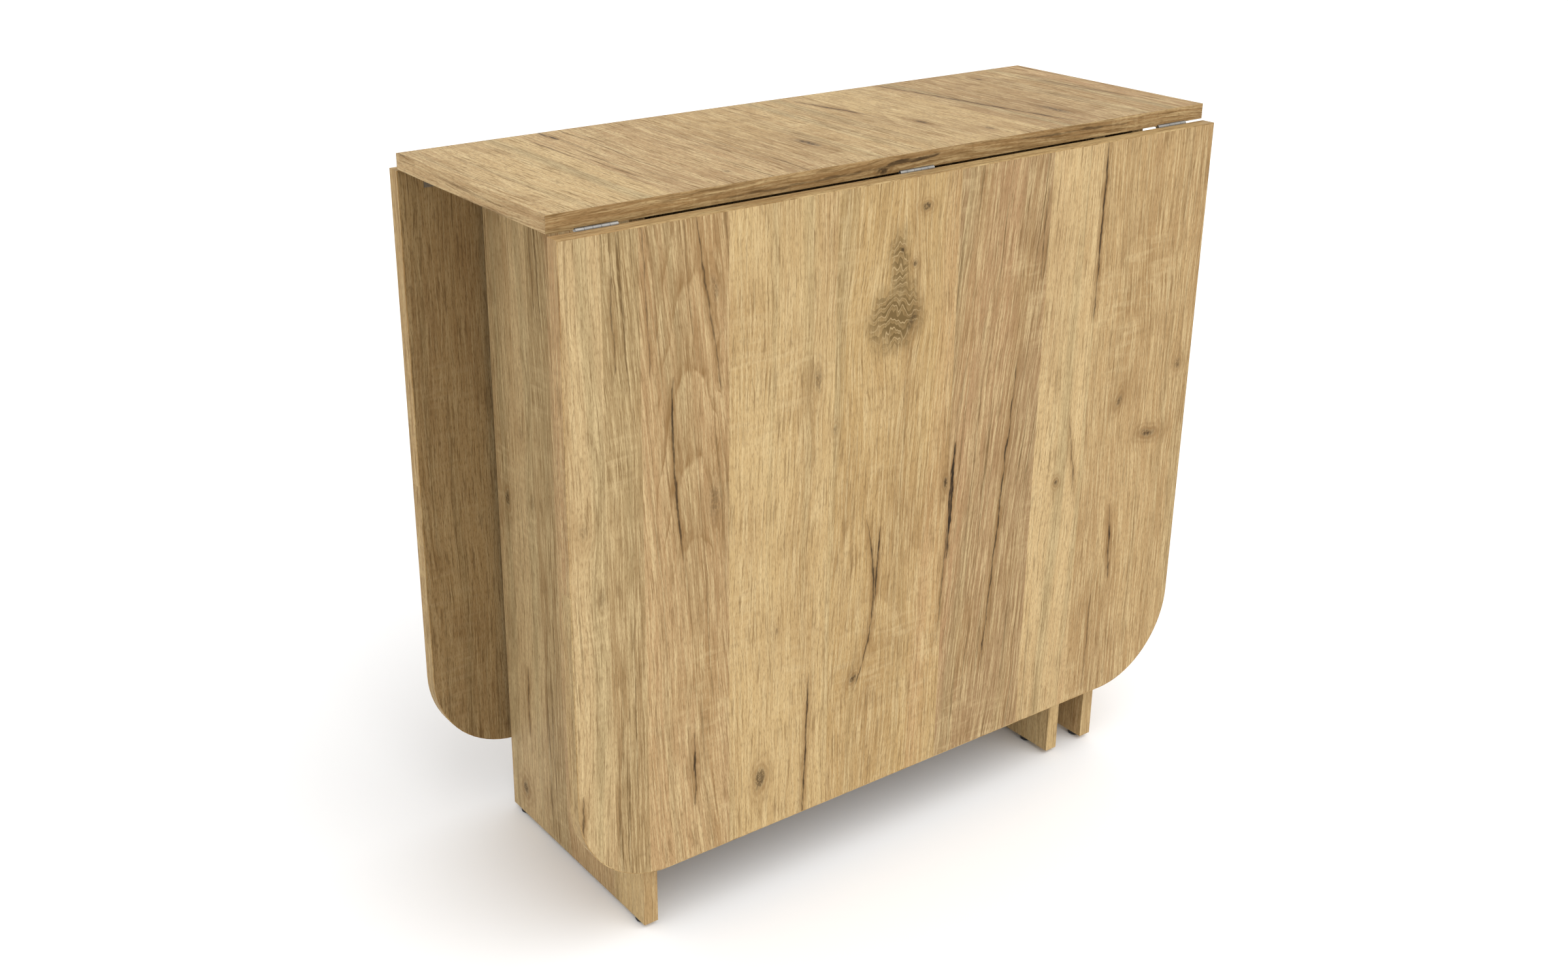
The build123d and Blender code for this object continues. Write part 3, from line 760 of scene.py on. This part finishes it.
        self.prints[features.name] = group
        return group


class Grain(Enum):
    """Which way the grain runs on a piece, and so how print coordinates lie on it."""

    UPRIGHT = "along Z"
    LENGTHWISE = "along X"
    CROSSWISE = "along Y"
    ROUND_THE_RIM = "along the edge of a leaf"


RIM_CENTRE_Z = 0.407
RIM_RADIUS = 0.45


def print_coordinates(graph: Graph, grain: Grain, across: float, along: float) -> Socket:
    """Lays print coordinates on a piece.

    Args:
        graph: The material's tree.
        grain: Which way the grain runs.
        across: What is added to u.
        along: What is added to v.

    Returns:
        The vector (u, v, 0).
    """
    place = graph.add("ShaderNodeTexCoord").outputs["Object"]
    x, y, z = graph.split(place)
    if grain is Grain.UPRIGHT:
        u, v = graph.sub(x, y), z
    elif grain is Grain.LENGTHWISE:
        u, v = graph.plus(y, z), x
    elif grain is Grain.CROSSWISE:
        u, v = graph.plus(x, z), y
    else:
        turn = graph.math("ARCTAN2", graph.sub(z, RIM_CENTRE_Z), x)
        u, v = y, graph.mul(turn, RIM_RADIUS)
    return graph.join(graph.plus(u, across), graph.plus(v, along))


def new_material(name: str) -> tuple[bpy.types.Material, Graph, bpy.types.Node]:
    """Makes an empty material.

    Args:
        name: The material's name.

    Returns:
        The material, its graph and its Principled BSDF.
    """
    material = bpy.data.materials.new(name)
    material.use_nodes = True
    return material, Graph(material.node_tree), material.node_tree.nodes["Principled BSDF"]


def surface(
    graph: Graph,
    shader: bpy.types.Node,
    colour: Socket,
    roughness: Socket,
    height: Socket,
    relief: tuple[float, float],
) -> None:
    """Joins a finish's colour, roughness and relief to its shader.

    Args:
        graph: The material's tree.
        shader: Its Principled BSDF.
        colour: The base colour.
        roughness: The roughness.
        height: The height of the relief.
        relief: The bump's strength, and its depth.
    """
    graph.feed(shader.inputs["Base Color"], colour)
    graph.feed(shader.inputs["Roughness"], roughness)
    strength, depth = relief
    inputs = {"Strength": strength, "Distance": depth, "Height": height}
    graph.feed(shader.inputs["Normal"], graph.fed("ShaderNodeBump", inputs).outputs["Normal"])


@dataclass(frozen=True)
class LaminateFinish:
    """Oak print under a matt clear coat, on a board or an edge band."""

    name: str
    grain: Grain
    features: PrintFeatures
    across: float = 0.0
    along: float = 0.0
    contrast: float = 1.0
    # A colour multiplied over the print; on the back leaf it is painted shade.
    shade: RGB = (255, 255, 255)
    roughness: float = 0.50
    pore_roughness: float = 0.14
    specular: float = 0.07
    relief: tuple[float, float] = (0.35, 0.0002)

    def build(self, oak: PrintedOak) -> bpy.types.Material:
        """Builds the material from the shared print groups."""
        material, graph, shader = new_material(self.name)
        vector = print_coordinates(graph, self.grain, self.across, self.along)
        printed = oak.print_with(self.features).place(graph, Vector=vector, Contrast=self.contrast)
        # Multiplies the print by the board's shade colour, which on the back leaf is painted shade.
        colour = graph.mix(1.0, printed.outputs["Color"], linear(*self.shade), "MULTIPLY")
        rough = graph.madd(printed.outputs["Pores"], self.pore_roughness, self.roughness)
        surface(graph, shader, colour, rough, printed.outputs["Relief"], self.relief)
        shader.inputs["Specular IOR Level"].default_value = self.specular
        return material


def build_speckle() -> EffectGroup:
    """Builds a fine even mottle in three sizes, for metal, plastic and bare beech.

    Returns:
        A group that turns a place into a blotch mask, a grit mask and a scratch mask.
    """
    inputs = {"Vector": (0.0, 0.0, 0.0), "Blotches": 60.0, "Grit": 1500.0, "Stretch": 12.0}
    outputs = {"Blotch": "float", "Fine": "float", "Scratch": "float"}
    group = EffectGroup("surface mottle", inputs, outputs)
    g, sockets = group.graph, group.inputs
    x, y, z = g.split(sockets["Vector"])

    def scaled(size: Socket, stretch: Value = 1.0) -> Socket:
        """Returns the place scaled, with the pattern drawn out along X by the stretch."""
        along = g.div(size, stretch)
        return g.join(g.mul(x, along), g.mul(y, size), g.mul(z, size))

    group.give(
        Blotch=g.noise(scaled(sockets["Blotches"]), 3.0, 0.6),
        Fine=g.noise(scaled(sockets["Grit"]), 1.0, 0.5),
        Scratch=g.noise(scaled(sockets["Grit"], sockets["Stretch"]), 2.0, 0.5),
    )
    return group


@dataclass(frozen=True)
class MetalFinish:
    """Zinc, either plated on steel or cast."""

    name: str
    light: RGB
    dark: RGB
    roughness: float
    relief: float
    scratch_roughness: float = 0.22
    metallic: float = 0.9
    depth: float = 0.0001

    def build(self, mottle: EffectGroup) -> bpy.types.Material:
        """Builds the material from the shared mottle group."""
        material, graph, shader = new_material(self.name)
        place = graph.add("ShaderNodeTexCoord").outputs["Object"]
        marks = mottle.place(graph, Vector=place).outputs
        share = graph.spread(marks["Blotch"], 0.35, 0.65)
        colour = graph.mix(share, linear(*self.light), linear(*self.dark))
        smoothest = self.roughness - self.scratch_roughness / 2
        rough = graph.madd(marks["Scratch"], self.scratch_roughness, smoothest)
        surface(graph, shader, colour, rough, marks["Scratch"], (self.relief, self.depth))
        shader.inputs["Metallic"].default_value = self.metallic
        return material


@dataclass(frozen=True)
class PlasticFinish:
    """Black plastic from a mould, with a fine grain and dust on it."""

    name: str
    black: RGB = (24, 24, 25)
    dust: RGB = (74, 72, 68)
    dust_share: float = 0.35
    relief: tuple[float, float] = (0.25, 0.0001)

    def build(self, mottle: EffectGroup) -> bpy.types.Material:
        """Builds the material from the shared mottle group."""
        material, graph, shader = new_material(self.name)
        place = graph.add("ShaderNodeTexCoord").outputs["Object"]
        marks = mottle.place(graph, Vector=place, Blotches=90.0, Grit=2500.0).outputs
        dust = graph.spread(marks["Blotch"], 0.45, 0.8, self.dust_share)
        colour = graph.mix(dust, linear(*self.black), linear(*self.dust))
        rough = graph.madd(marks["Blotch"], 0.25, 0.36)
        surface(graph, shader, colour, rough, marks["Fine"], self.relief)
        return material


@dataclass(frozen=True)
class DowelFinish:
    """Bare beech with its short dark flecks, along X."""

    name: str
    beech: RGB = (214, 178, 138)
    fleck: RGB = (150, 106, 70)
    fleck_share: float = 0.7
    relief: tuple[float, float] = (0.3, 0.0002)

    def build(self, mottle: EffectGroup) -> bpy.types.Material:
        """Builds the material from the shared mottle group."""
        material, graph, shader = new_material(self.name)
        place = graph.add("ShaderNodeTexCoord").outputs["Object"]
        marks = mottle.place(graph, Vector=place, Blotches=120.0, Grit=1800.0, Stretch=9.0).outputs
        flecks = graph.spread(marks["Scratch"], 0.55, 0.72, self.fleck_share)
        colour = graph.mix(flecks, linear(*self.beech), linear(*self.fleck))
        rough = graph.madd(marks["Blotch"], 0.2, 0.55)
        surface(graph, shader, colour, rough, marks["Scratch"], self.relief)
        return material


# ---------------------------------------------------------------- boards and fittings


def dress(node: str, material: bpy.types.Material) -> None:
    """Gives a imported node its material.

    Args:
        node: The node's name.
        material: What it is made of.
    """
    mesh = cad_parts[node].data
    if not mesh.materials:
        mesh.materials.append(material)
    for number in range(len(mesh.materials)):
        mesh.materials[number] = material
    log.info("dressed %s in %s", node, material.name)


@dataclass
class Boards:
    """Every laminated board and its edge bands."""

    oak: PrintedOak
    top_lift: float = 0.75
    leaf_out: float = 0.1574
    leaf_in: float = 0.1415
    panel_shift: float = 0.0092
    top_print_u: float = 1.2
    finishes: dict[LaminateFinish, list[str]] = field(init=False)

    def __post_init__(self) -> None:
        """Lays out the print on each board."""
        upright, lengthwise, crosswise = Grain.UPRIGHT, Grain.LENGTHWISE, Grain.CROSSWISE
        top_u = self.top_print_u - self.top_lift
        back_u = self.top_print_u + self.leaf_in
        gates = ("front_gate", "back_gate")
        rows = (
            (("oak, top", crosswise, TOP_PRINT, top_u, 0.4, 1.25), ["table_top"]),
            (
                ("oak, dark band", lengthwise, BAND_PRINT, 0.882, 0.0, 1.2, (236, 232, 226)),
                ["top_long_edge_bands"],
            ),
            (("oak, end band", crosswise, TOP_PRINT, 0.60, 0.4), ["top_end_edge_bands"]),
            (
                ("oak, end panels", upright, LEAF_PRINT, self.panel_shift),
                ["left_end_panel", "right_end_panel"],
            ),
            (
                ("oak, panel band", upright, LEAF_PRINT, 0.90, 0.0, 0.8),
                ["panel_edge_bands", *(f"{gate}_edge_bands" for gate in gates)],
            ),
            (
                ("oak, rails", lengthwise, BAND_PRINT, 0.30, 1.1),
                ["lower_stretcher", "upper_stretcher", "stretcher_edge_bands"]
                + [f"{gate}_{place}_rail" for gate in gates for place in ("lower", "upper")],
            ),
            (("oak, front leaf", upright, LEAF_PRINT, -self.leaf_out), ["front_leaf_board"]),
            # The back leaf's shade colour (214, 211, 207) darkens its print: painted shade for the table's
            # shadow over its inner face, on the same oak as the front leaf.
            (
                ("oak, back leaf", upright, TOP_PRINT, back_u, 0.0, 1.1, (214, 211, 207)),
                ["back_leaf_board"],
            ),
            (
                ("oak, leaf rim", Grain.ROUND_THE_RIM, BAND_PRINT, 0.98, 0.3, 1.15, (240, 236, 228)),
                ["front_leaf_edge_band", "back_leaf_edge_band"],
            ),
            (
                ("oak, gate", upright, LEAF_PRINT, 0.55, 1.3),
                [f"{gate}_{board}" for gate in gates for board in ("leg", "stile")],
            ),
        )
        self.finishes = {LaminateFinish(*values): nodes for values, nodes in rows}

    def dress(self) -> None:
        """Builds each finish once and gives it to its nodes."""
        for finish, nodes in self.finishes.items():
            material = finish.build(self.oak)
            for node in nodes:
                dress(node, material)


@dataclass
class Fittings:
    """Hinges, pins, cams, bolts, nails, glides and dowels."""

    zinc: bpy.types.Material
    cast: bpy.types.Material
    plastic: bpy.types.Material
    beech: bpy.types.Material

    def dress(self) -> None:
        """Gives every fitting the material of its kind."""
        kinds = {"cam_housings": self.cast, "frame_dowels": self.beech, "panel_glides": self.plastic}
        for gate in ("front_gate", "back_gate"):
            kinds[f"{gate}_dowels"] = self.beech
            kinds[f"{gate}_glide"] = self.plastic
        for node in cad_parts:
            if node in kinds:
                dress(node, kinds[node])
            elif any(word in node for word in ("plate", "pins", "bolts", "nail")):
                dress(node, self.zinc)


# ---------------------------------------------------------------- screws


@dataclass
class CrossHeadScrews:
    """Countersunk screws with a cross recess and a rolled thread, one set for each node."""

    material: bpy.types.Material
    head_radius: float = 0.0026
    shank_radius: float = 0.00135
    root_radius: float = 0.0010
    head_height: float = 0.0012
    length: float = 0.0130
    thread_pitch: float = 0.0012
    recess_width: float = 0.0005
    recess_depth: float = 0.0008
    head_sides: int = 28
    shank_sides: int = 20
    coil_steps: int = 14
    seed: int = 3
    tree: bpy.types.NodeTree = field(init=False)

    TIP_SHARE = 0.35
    THREADED_SHARE = 0.85
    RIDGE_SHARE = 0.18
    COIL_START_SHARE = 0.75
    TIP_CLEARANCE_SHARE = 0.08

    def __post_init__(self) -> None:
        """Builds the node tree that all the sets share."""
        self.tree = self._build_tree()

    def _sizes(self) -> dict[str, float]:
        """Returns each size by the name that it has as an input of the tree."""
        sizes = [item.name for item in fields(self) if item.type is float]
        return {name.replace("_", " ").title(): getattr(self, name) for name in sizes}

    def _build_tree(self) -> bpy.types.NodeTree:
        """Builds the tree: one screw, placed on every point and facing that point's way outward.

        Returns:
            The tree, whose named inputs are the screw's sizes, a seed and a material.
        """
        tree = bpy.data.node_groups.new("cross head screws", "GeometryNodeTree")
        new_socket(tree, "Points", "INPUT", "NodeSocketGeometry")
        for label, size in self._sizes().items():
            new_socket(tree, label, "INPUT", "NodeSocketFloat", size)
        new_socket(tree, "Seed", "INPUT", "NodeSocketInt", self.seed)
        new_socket(tree, "Material", "INPUT", "NodeSocketMaterial")
        new_socket(tree, "Screws", "OUTPUT", "NodeSocketGeometry")
        g = Graph(tree)
        given = g.add("NodeGroupInput").outputs
        result = g.add("NodeGroupOutput").inputs[0]
        screw = g.add("GeometryNodeJoinGeometry")
        for part in (self._head(g, given), self._shank(g, given), self._thread(g, given)):
            g.feed(screw.inputs[0], part)
        inputs = {"Points": given["Points"], "Instance": screw.outputs[0], "Rotation": self._turn(g, given)}
        spread = g.fed("GeometryNodeInstanceOnPoints", inputs)
        real = g.fed("GeometryNodeRealizeInstances", {0: spread.outputs[0]})
        inputs = {"Geometry": real.outputs[0], "Material": given["Material"]}
        g.feed(result, g.fed("GeometryNodeSetMaterial", inputs).outputs[0])
        return tree

    def _head(self, g: Graph, given: bpy.types.NodeOutputs) -> Socket:
        """Builds the countersunk head, its face at height 0, with a cross cut into it."""
        inputs = {
            "Vertices": self.head_sides,
            "Radius Top": given["Head Radius"],
            "Radius Bottom": given["Shank Radius"],
            "Depth": given["Head Height"],
        }
        cone = g.fed("GeometryNodeMeshCone", inputs).outputs["Mesh"]
        head = self._moved(g, cone, g.mul(given["Head Height"], -1.0))
        cut = g.fed(
            "GeometryNodeMeshBoolean", {"Mesh 1": head}, operation="DIFFERENCE", solver="EXACT"
        )
        for width, depth in (("Head Radius", "Recess Width"), ("Recess Width", "Head Radius")):
            size = g.join(given[width], given[depth], g.mul(given["Recess Depth"], 2.0))
            slot = g.fed("GeometryNodeMeshCube", {"Size": size})
            g.feed(cut.inputs["Mesh 2"], slot.outputs["Mesh"])
        return cut.outputs["Mesh"]

    def _shank(self, g: Graph, given: bpy.types.NodeOutputs) -> Socket:
        """Builds the tapered core below the head."""
        inputs = {
            "Vertices": self.shank_sides,
            "Radius Top": given["Root Radius"],
            "Radius Bottom": g.mul(given["Root Radius"], self.TIP_SHARE),
            "Depth": g.sub(given["Length"], given["Head Height"]),
        }
        cone = g.fed("GeometryNodeMeshCone", inputs).outputs["Mesh"]
        return self._moved(g, cone, g.mul(given["Length"], -1.0))

    def _thread(self, g: Graph, given: bpy.types.NodeOutputs) -> Socket:
        """Builds the thread: a thin ridge swept along a coil that widens upwards."""
        run = g.sub(given["Length"], given["Head Height"])
        coiled = g.mul(run, self.THREADED_SHARE)
        ridge = g.mul(given["Root Radius"], self.RIDGE_SHARE)
        inputs = {
            "Resolution": self.coil_steps,
            "Rotations": g.div(coiled, given["Thread Pitch"]),
            "Start Radius": g.mul(given["Root Radius"], self.COIL_START_SHARE),
            "End Radius": g.sub(given["Shank Radius"], ridge),
            "Height": coiled,
        }
        coil = g.fed("GeometryNodeCurveSpiral", inputs)
        profile = g.fed("GeometryNodeCurvePrimitiveCircle", {"Resolution": 4, "Radius": ridge})
        inputs = {"Curve": coil.outputs["Curve"], "Profile Curve": profile.outputs["Curve"]}
        sweep = g.fed("GeometryNodeCurveToMesh", {**inputs, "Fill Caps": True})
        start = g.madd(run, self.TIP_CLEARANCE_SHARE, g.mul(given["Length"], -1.0))
        return self._moved(g, sweep.outputs["Mesh"], start)

    def _turn(self, g: Graph, given: bpy.types.NodeOutputs) -> Socket:
        """Faces each screw its point's way outward, and turns its recess by chance."""
        facing = g.fed("GeometryNodeInputNamedAttribute", {"Name": "outward"}, data_type="FLOAT_VECTOR")
        align = g.fed("FunctionNodeAlignRotationToVector", {"Vector": facing.outputs[0]}, axis="Z")
        chance = {2: 0.0, 3: math.pi / 2, "Seed": given["Seed"]}
        spin = g.fed("FunctionNodeRandomValue", chance, data_type="FLOAT")
        inputs = {"Axis": (0.0, 0.0, 1.0), "Angle": spin.outputs[1]}
        about = g.fed("FunctionNodeAxisAngleToRotation", inputs)
        inputs = {"Rotation": align.outputs[0], "Rotate By": about.outputs[0]}
        return g.fed("FunctionNodeRotateRotation", inputs, rotation_space="LOCAL").outputs[0]

    @staticmethod
    def _moved(g: Graph, mesh: Socket, height: Socket) -> Socket:
        """Moves a mesh along Z and returns it."""
        inputs = {"Geometry": mesh, "Translation": g.join(0.0, 0.0, height)}
        return g.fed("GeometryNodeTransform", inputs).outputs[0]

    def set_on(self, node: str, body: str, places: Seats) -> bpy.types.Object:
        """Makes one set of screws and puts it in its node's stead.

        Args:
            node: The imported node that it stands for.
            body: The body that it moves with.
            places: For each screw, the middle of its head's face and the way that faces.

        Returns:
            The finished piece.
        """
        points = bpy.data.meshes.new(f"{node} seats")
        points.from_pydata([tuple(middle) for middle, _ in places], [], [])
        facing = points.attributes.new("outward", "FLOAT_VECTOR", "POINT")
        for number, (_, outward) in enumerate(places):
            facing.data[number].vector = outward
        seats = bpy.data.objects.new(f"{node} seats", points)
        bpy.context.scene.collection.objects.link(seats)
        modifier = seats.modifiers.new("screws", "NODES")
        modifier.node_group = self.tree
        values = {**self._sizes(), "Seed": self.seed, "Material": self.material}
        for item in self.tree.interface.items_tree:
            if item.item_type == "SOCKET" and item.in_out == "INPUT" and item.name in values:
                modifier[item.identifier] = values[item.name]
        graph = bpy.context.evaluated_depsgraph_get()
        mesh = bpy.data.meshes.new_from_object(seats.evaluated_get(graph))
        seats.modifiers.remove(modifier)
        bpy.data.objects.remove(seats)
        piece = bpy.data.objects.new(f"{node}_detailed", mesh)
        bpy.context.scene.collection.objects.link(piece)
        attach(piece, body)
        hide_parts(node)
        log.info("built %s: %d screws, %d faces", piece.name, len(places), len(mesh.polygons))
        return piece


@dataclass
class ScrewSeats:
    """Where the hinges' screws go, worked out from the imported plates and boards."""

    half_spacing: float = 0.012
    gate_half_spacing: float = 0.018
    plate: float = 0.0012
    gate_plate: float = 0.0015
    plate_margin: float = 0.008
    gate_plate_margin: float = 0.009
    gate_plate_half: float = 0.030

    def _across(self, kind: str) -> list[tuple[float, list, list]]:
        """Returns the x of each screw in one kind of front leaf plate, with its plate's box."""
        found = []
        for name in ("left", "middle", "right"):
            low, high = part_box(f"front_{name}_hinge_{kind}")
            centre = (low[0] + high[0]) / 2
            found += [(centre + side * self.half_spacing, low, high) for side in (-1, 1)]
        return found

    def under_top(self) -> Seats:
        """Returns the seats in the plates under the front edge of the top."""
        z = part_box("table_top")[0][2] - self.plate
        down = Vector((0.0, 0.0, -1.0))
        plates = self._across("top_plate")
        return [(Vector((x, high[1] - self.plate_margin, z)), down) for x, _, high in plates]

    def on_leaf(self) -> Seats:
        """Returns the seats in the plates on the inner face of the front leaf."""
        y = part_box("front_leaf_board")[1][1] + self.plate
        inward = Vector((0.0, 1.0, 0.0))
        plates = self._across("leaf_plate")
        return [(Vector((x, y, low[2] + self.plate_margin)), inward) for x, low, _ in plates]

    def _heights(self, low: float, high: float) -> list[float]:
        """Returns the heights of a gate's four hinge screws, from the lowest and highest plate edge."""
        middles = (low + self.gate_plate_half, high - self.gate_plate_half)
        return [z + side * self.gate_half_spacing for z in middles for side in (-1, 1)]

    def on_post(self) -> Seats:
        """Returns the seats in the front gate's hinge plates on the end panel."""
        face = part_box("left_end_panel")[1][0]
        low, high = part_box("front_gate_hinge_post_plates")
        y = low[1] + self.gate_plate_margin
        out = Vector((1.0, 0.0, 0.0))
        return [(Vector((face + self.gate_plate, y, z)), out) for z in self._heights(low[2], high[2])]

    def on_stile(self) -> Seats:
        """Returns the seats in the front gate's hinge plates on its stile."""
        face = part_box("front_gate_stile")[0][1]
        low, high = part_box("front_gate_hinge_gate_plates")
        x = high[0] - self.gate_plate_margin
        out = Vector((0.0, -1.0, 0.0))
        return [(Vector((x, face - self.gate_plate, z)), out) for z in self._heights(low[2], high[2])]


def turned(seats: Seats) -> Seats:
    """Returns the same seats turned round to the back of the table."""
    about = Vector((-1.0, -1.0, 1.0))
    return [(middle * about, outward * about) for middle, outward in seats]


def set_screws(material: bpy.types.Material) -> None:
    """Makes every set of screws.

    Args:
        material: What the screws are made of.
    """
    screws, seats = CrossHeadScrews(material), ScrewSeats()
    screws.set_on("top_hinge_screws", "base", seats.under_top() + turned(seats.under_top()))
    screws.set_on("post_hinge_screws", "base", seats.on_post() + turned(seats.on_post()))
    screws.set_on("front_leaf_hinge_screws", "front_leaf", seats.on_leaf())
    screws.set_on("back_leaf_hinge_screws", "back_leaf", turned(seats.on_leaf()))
    screws.set_on("front_gate_hinge_screws", "front_gate", seats.on_stile())
    screws.set_on("back_gate_hinge_screws", "back_gate", turned(seats.on_stile()))


# ---------------------------------------------------------------- studio


@dataclass(frozen=True)
class Studio:
    """The camera, the pale floor and the soft lights."""

    camera_place: tuple[float, float, float] = (-1.07958, -1.35949, 1.11616)
    camera_down: float = 22.135
    camera_round: float = -35.354
    lens: float = 40.1
    shift: tuple[float, float] = (0.0341, -0.0312)
    floor_reach: float = 30.0
    floor_white: float = 0.93
    sky: float = 1.0
    key: float = 1.45
    key_width: float = 60.0
    key_from: tuple[float, float, float] = (0.14, -0.60, 0.79)

    def build(self) -> None:
        """Sets up the view, the floor and the lights."""
        self._camera()
        self._floor()
        self._lights()

    def _camera(self) -> None:
        """Places the camera."""
        data = bpy.data.cameras.new("camera")
        data.lens = self.lens
        data.sensor_width = 36.0
        data.sensor_fit = "HORIZONTAL"
        data.shift_x, data.shift_y = self.shift
        camera = bpy.data.objects.new("camera", data)
        camera.location = self.camera_place
        camera.rotation_euler = (math.radians(90 - self.camera_down), 0.0, math.radians(self.camera_round))
        bpy.context.scene.collection.objects.link(camera)
        bpy.context.scene.camera = camera

    def _floor(self) -> None:
        """Lays a wide pale floor."""
        reach = self.floor_reach
        mesh = bpy.data.meshes.new("floor")
        corners = [(-reach, -reach, 0.0), (reach, -reach, 0.0), (reach, reach, 0.0), (-reach, reach, 0.0)]
        mesh.from_pydata(corners, [], [(0, 1, 2, 3)])
        material, _, shader = new_material("pale floor")
        shader.inputs["Base Color"].default_value = (self.floor_white,) * 3 + (1.0,)
        shader.inputs["Roughness"].default_value = 0.9
        mesh.materials.append(material)
        floor = bpy.data.objects.new("floor", mesh)
        bpy.context.scene.collection.objects.link(floor)

    def _lights(self) -> None:
        """Sets a bright sky and one broad soft lamp from the front, the right and above."""
        scene = bpy.context.scene
        scene.view_settings.view_transform = "Standard"
        scene.view_settings.look = "None"
        world = bpy.data.worlds.new("studio")
        scene.world = world
        world.use_nodes = True
        background = world.node_tree.nodes["Background"]
        background.inputs["Color"].default_value = (1.0, 1.0, 1.0, 1.0)
        background.inputs["Strength"].default_value = self.sky
        data = bpy.data.lights.new("soft key", "SUN")
        data.energy = self.key
        data.angle = math.radians(self.key_width)
        lamp = bpy.data.objects.new("soft key", data)
        lamp.rotation_euler = Vector(self.key_from).to_track_quat("Z", "Y").to_euler()
        scene.collection.objects.link(lamp)


def main() -> None:
    """Builds the scene in order."""
    logging.basicConfig(level=logging.INFO, format="%(name)s: %(message)s")
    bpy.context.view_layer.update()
    Studio().build()
    oak = PrintedOak()
    Boards(oak).dress()
    mottle = build_speckle()
    zinc = MetalFinish("zinc plate", (158, 156, 151), (143, 142, 139), 0.48, 0.10).build(mottle)
    cast = MetalFinish("cast zinc", (176, 176, 178), (150, 151, 154), 0.52, 0.45).build(mottle)
    plastic = PlasticFinish("black plastic").build(mottle)
    beech = DowelFinish("beech").build(mottle)
    Fittings(zinc, cast, plastic, beech).dress()
    set_screws(zinc)


if __name__ == "__main__":
    main()
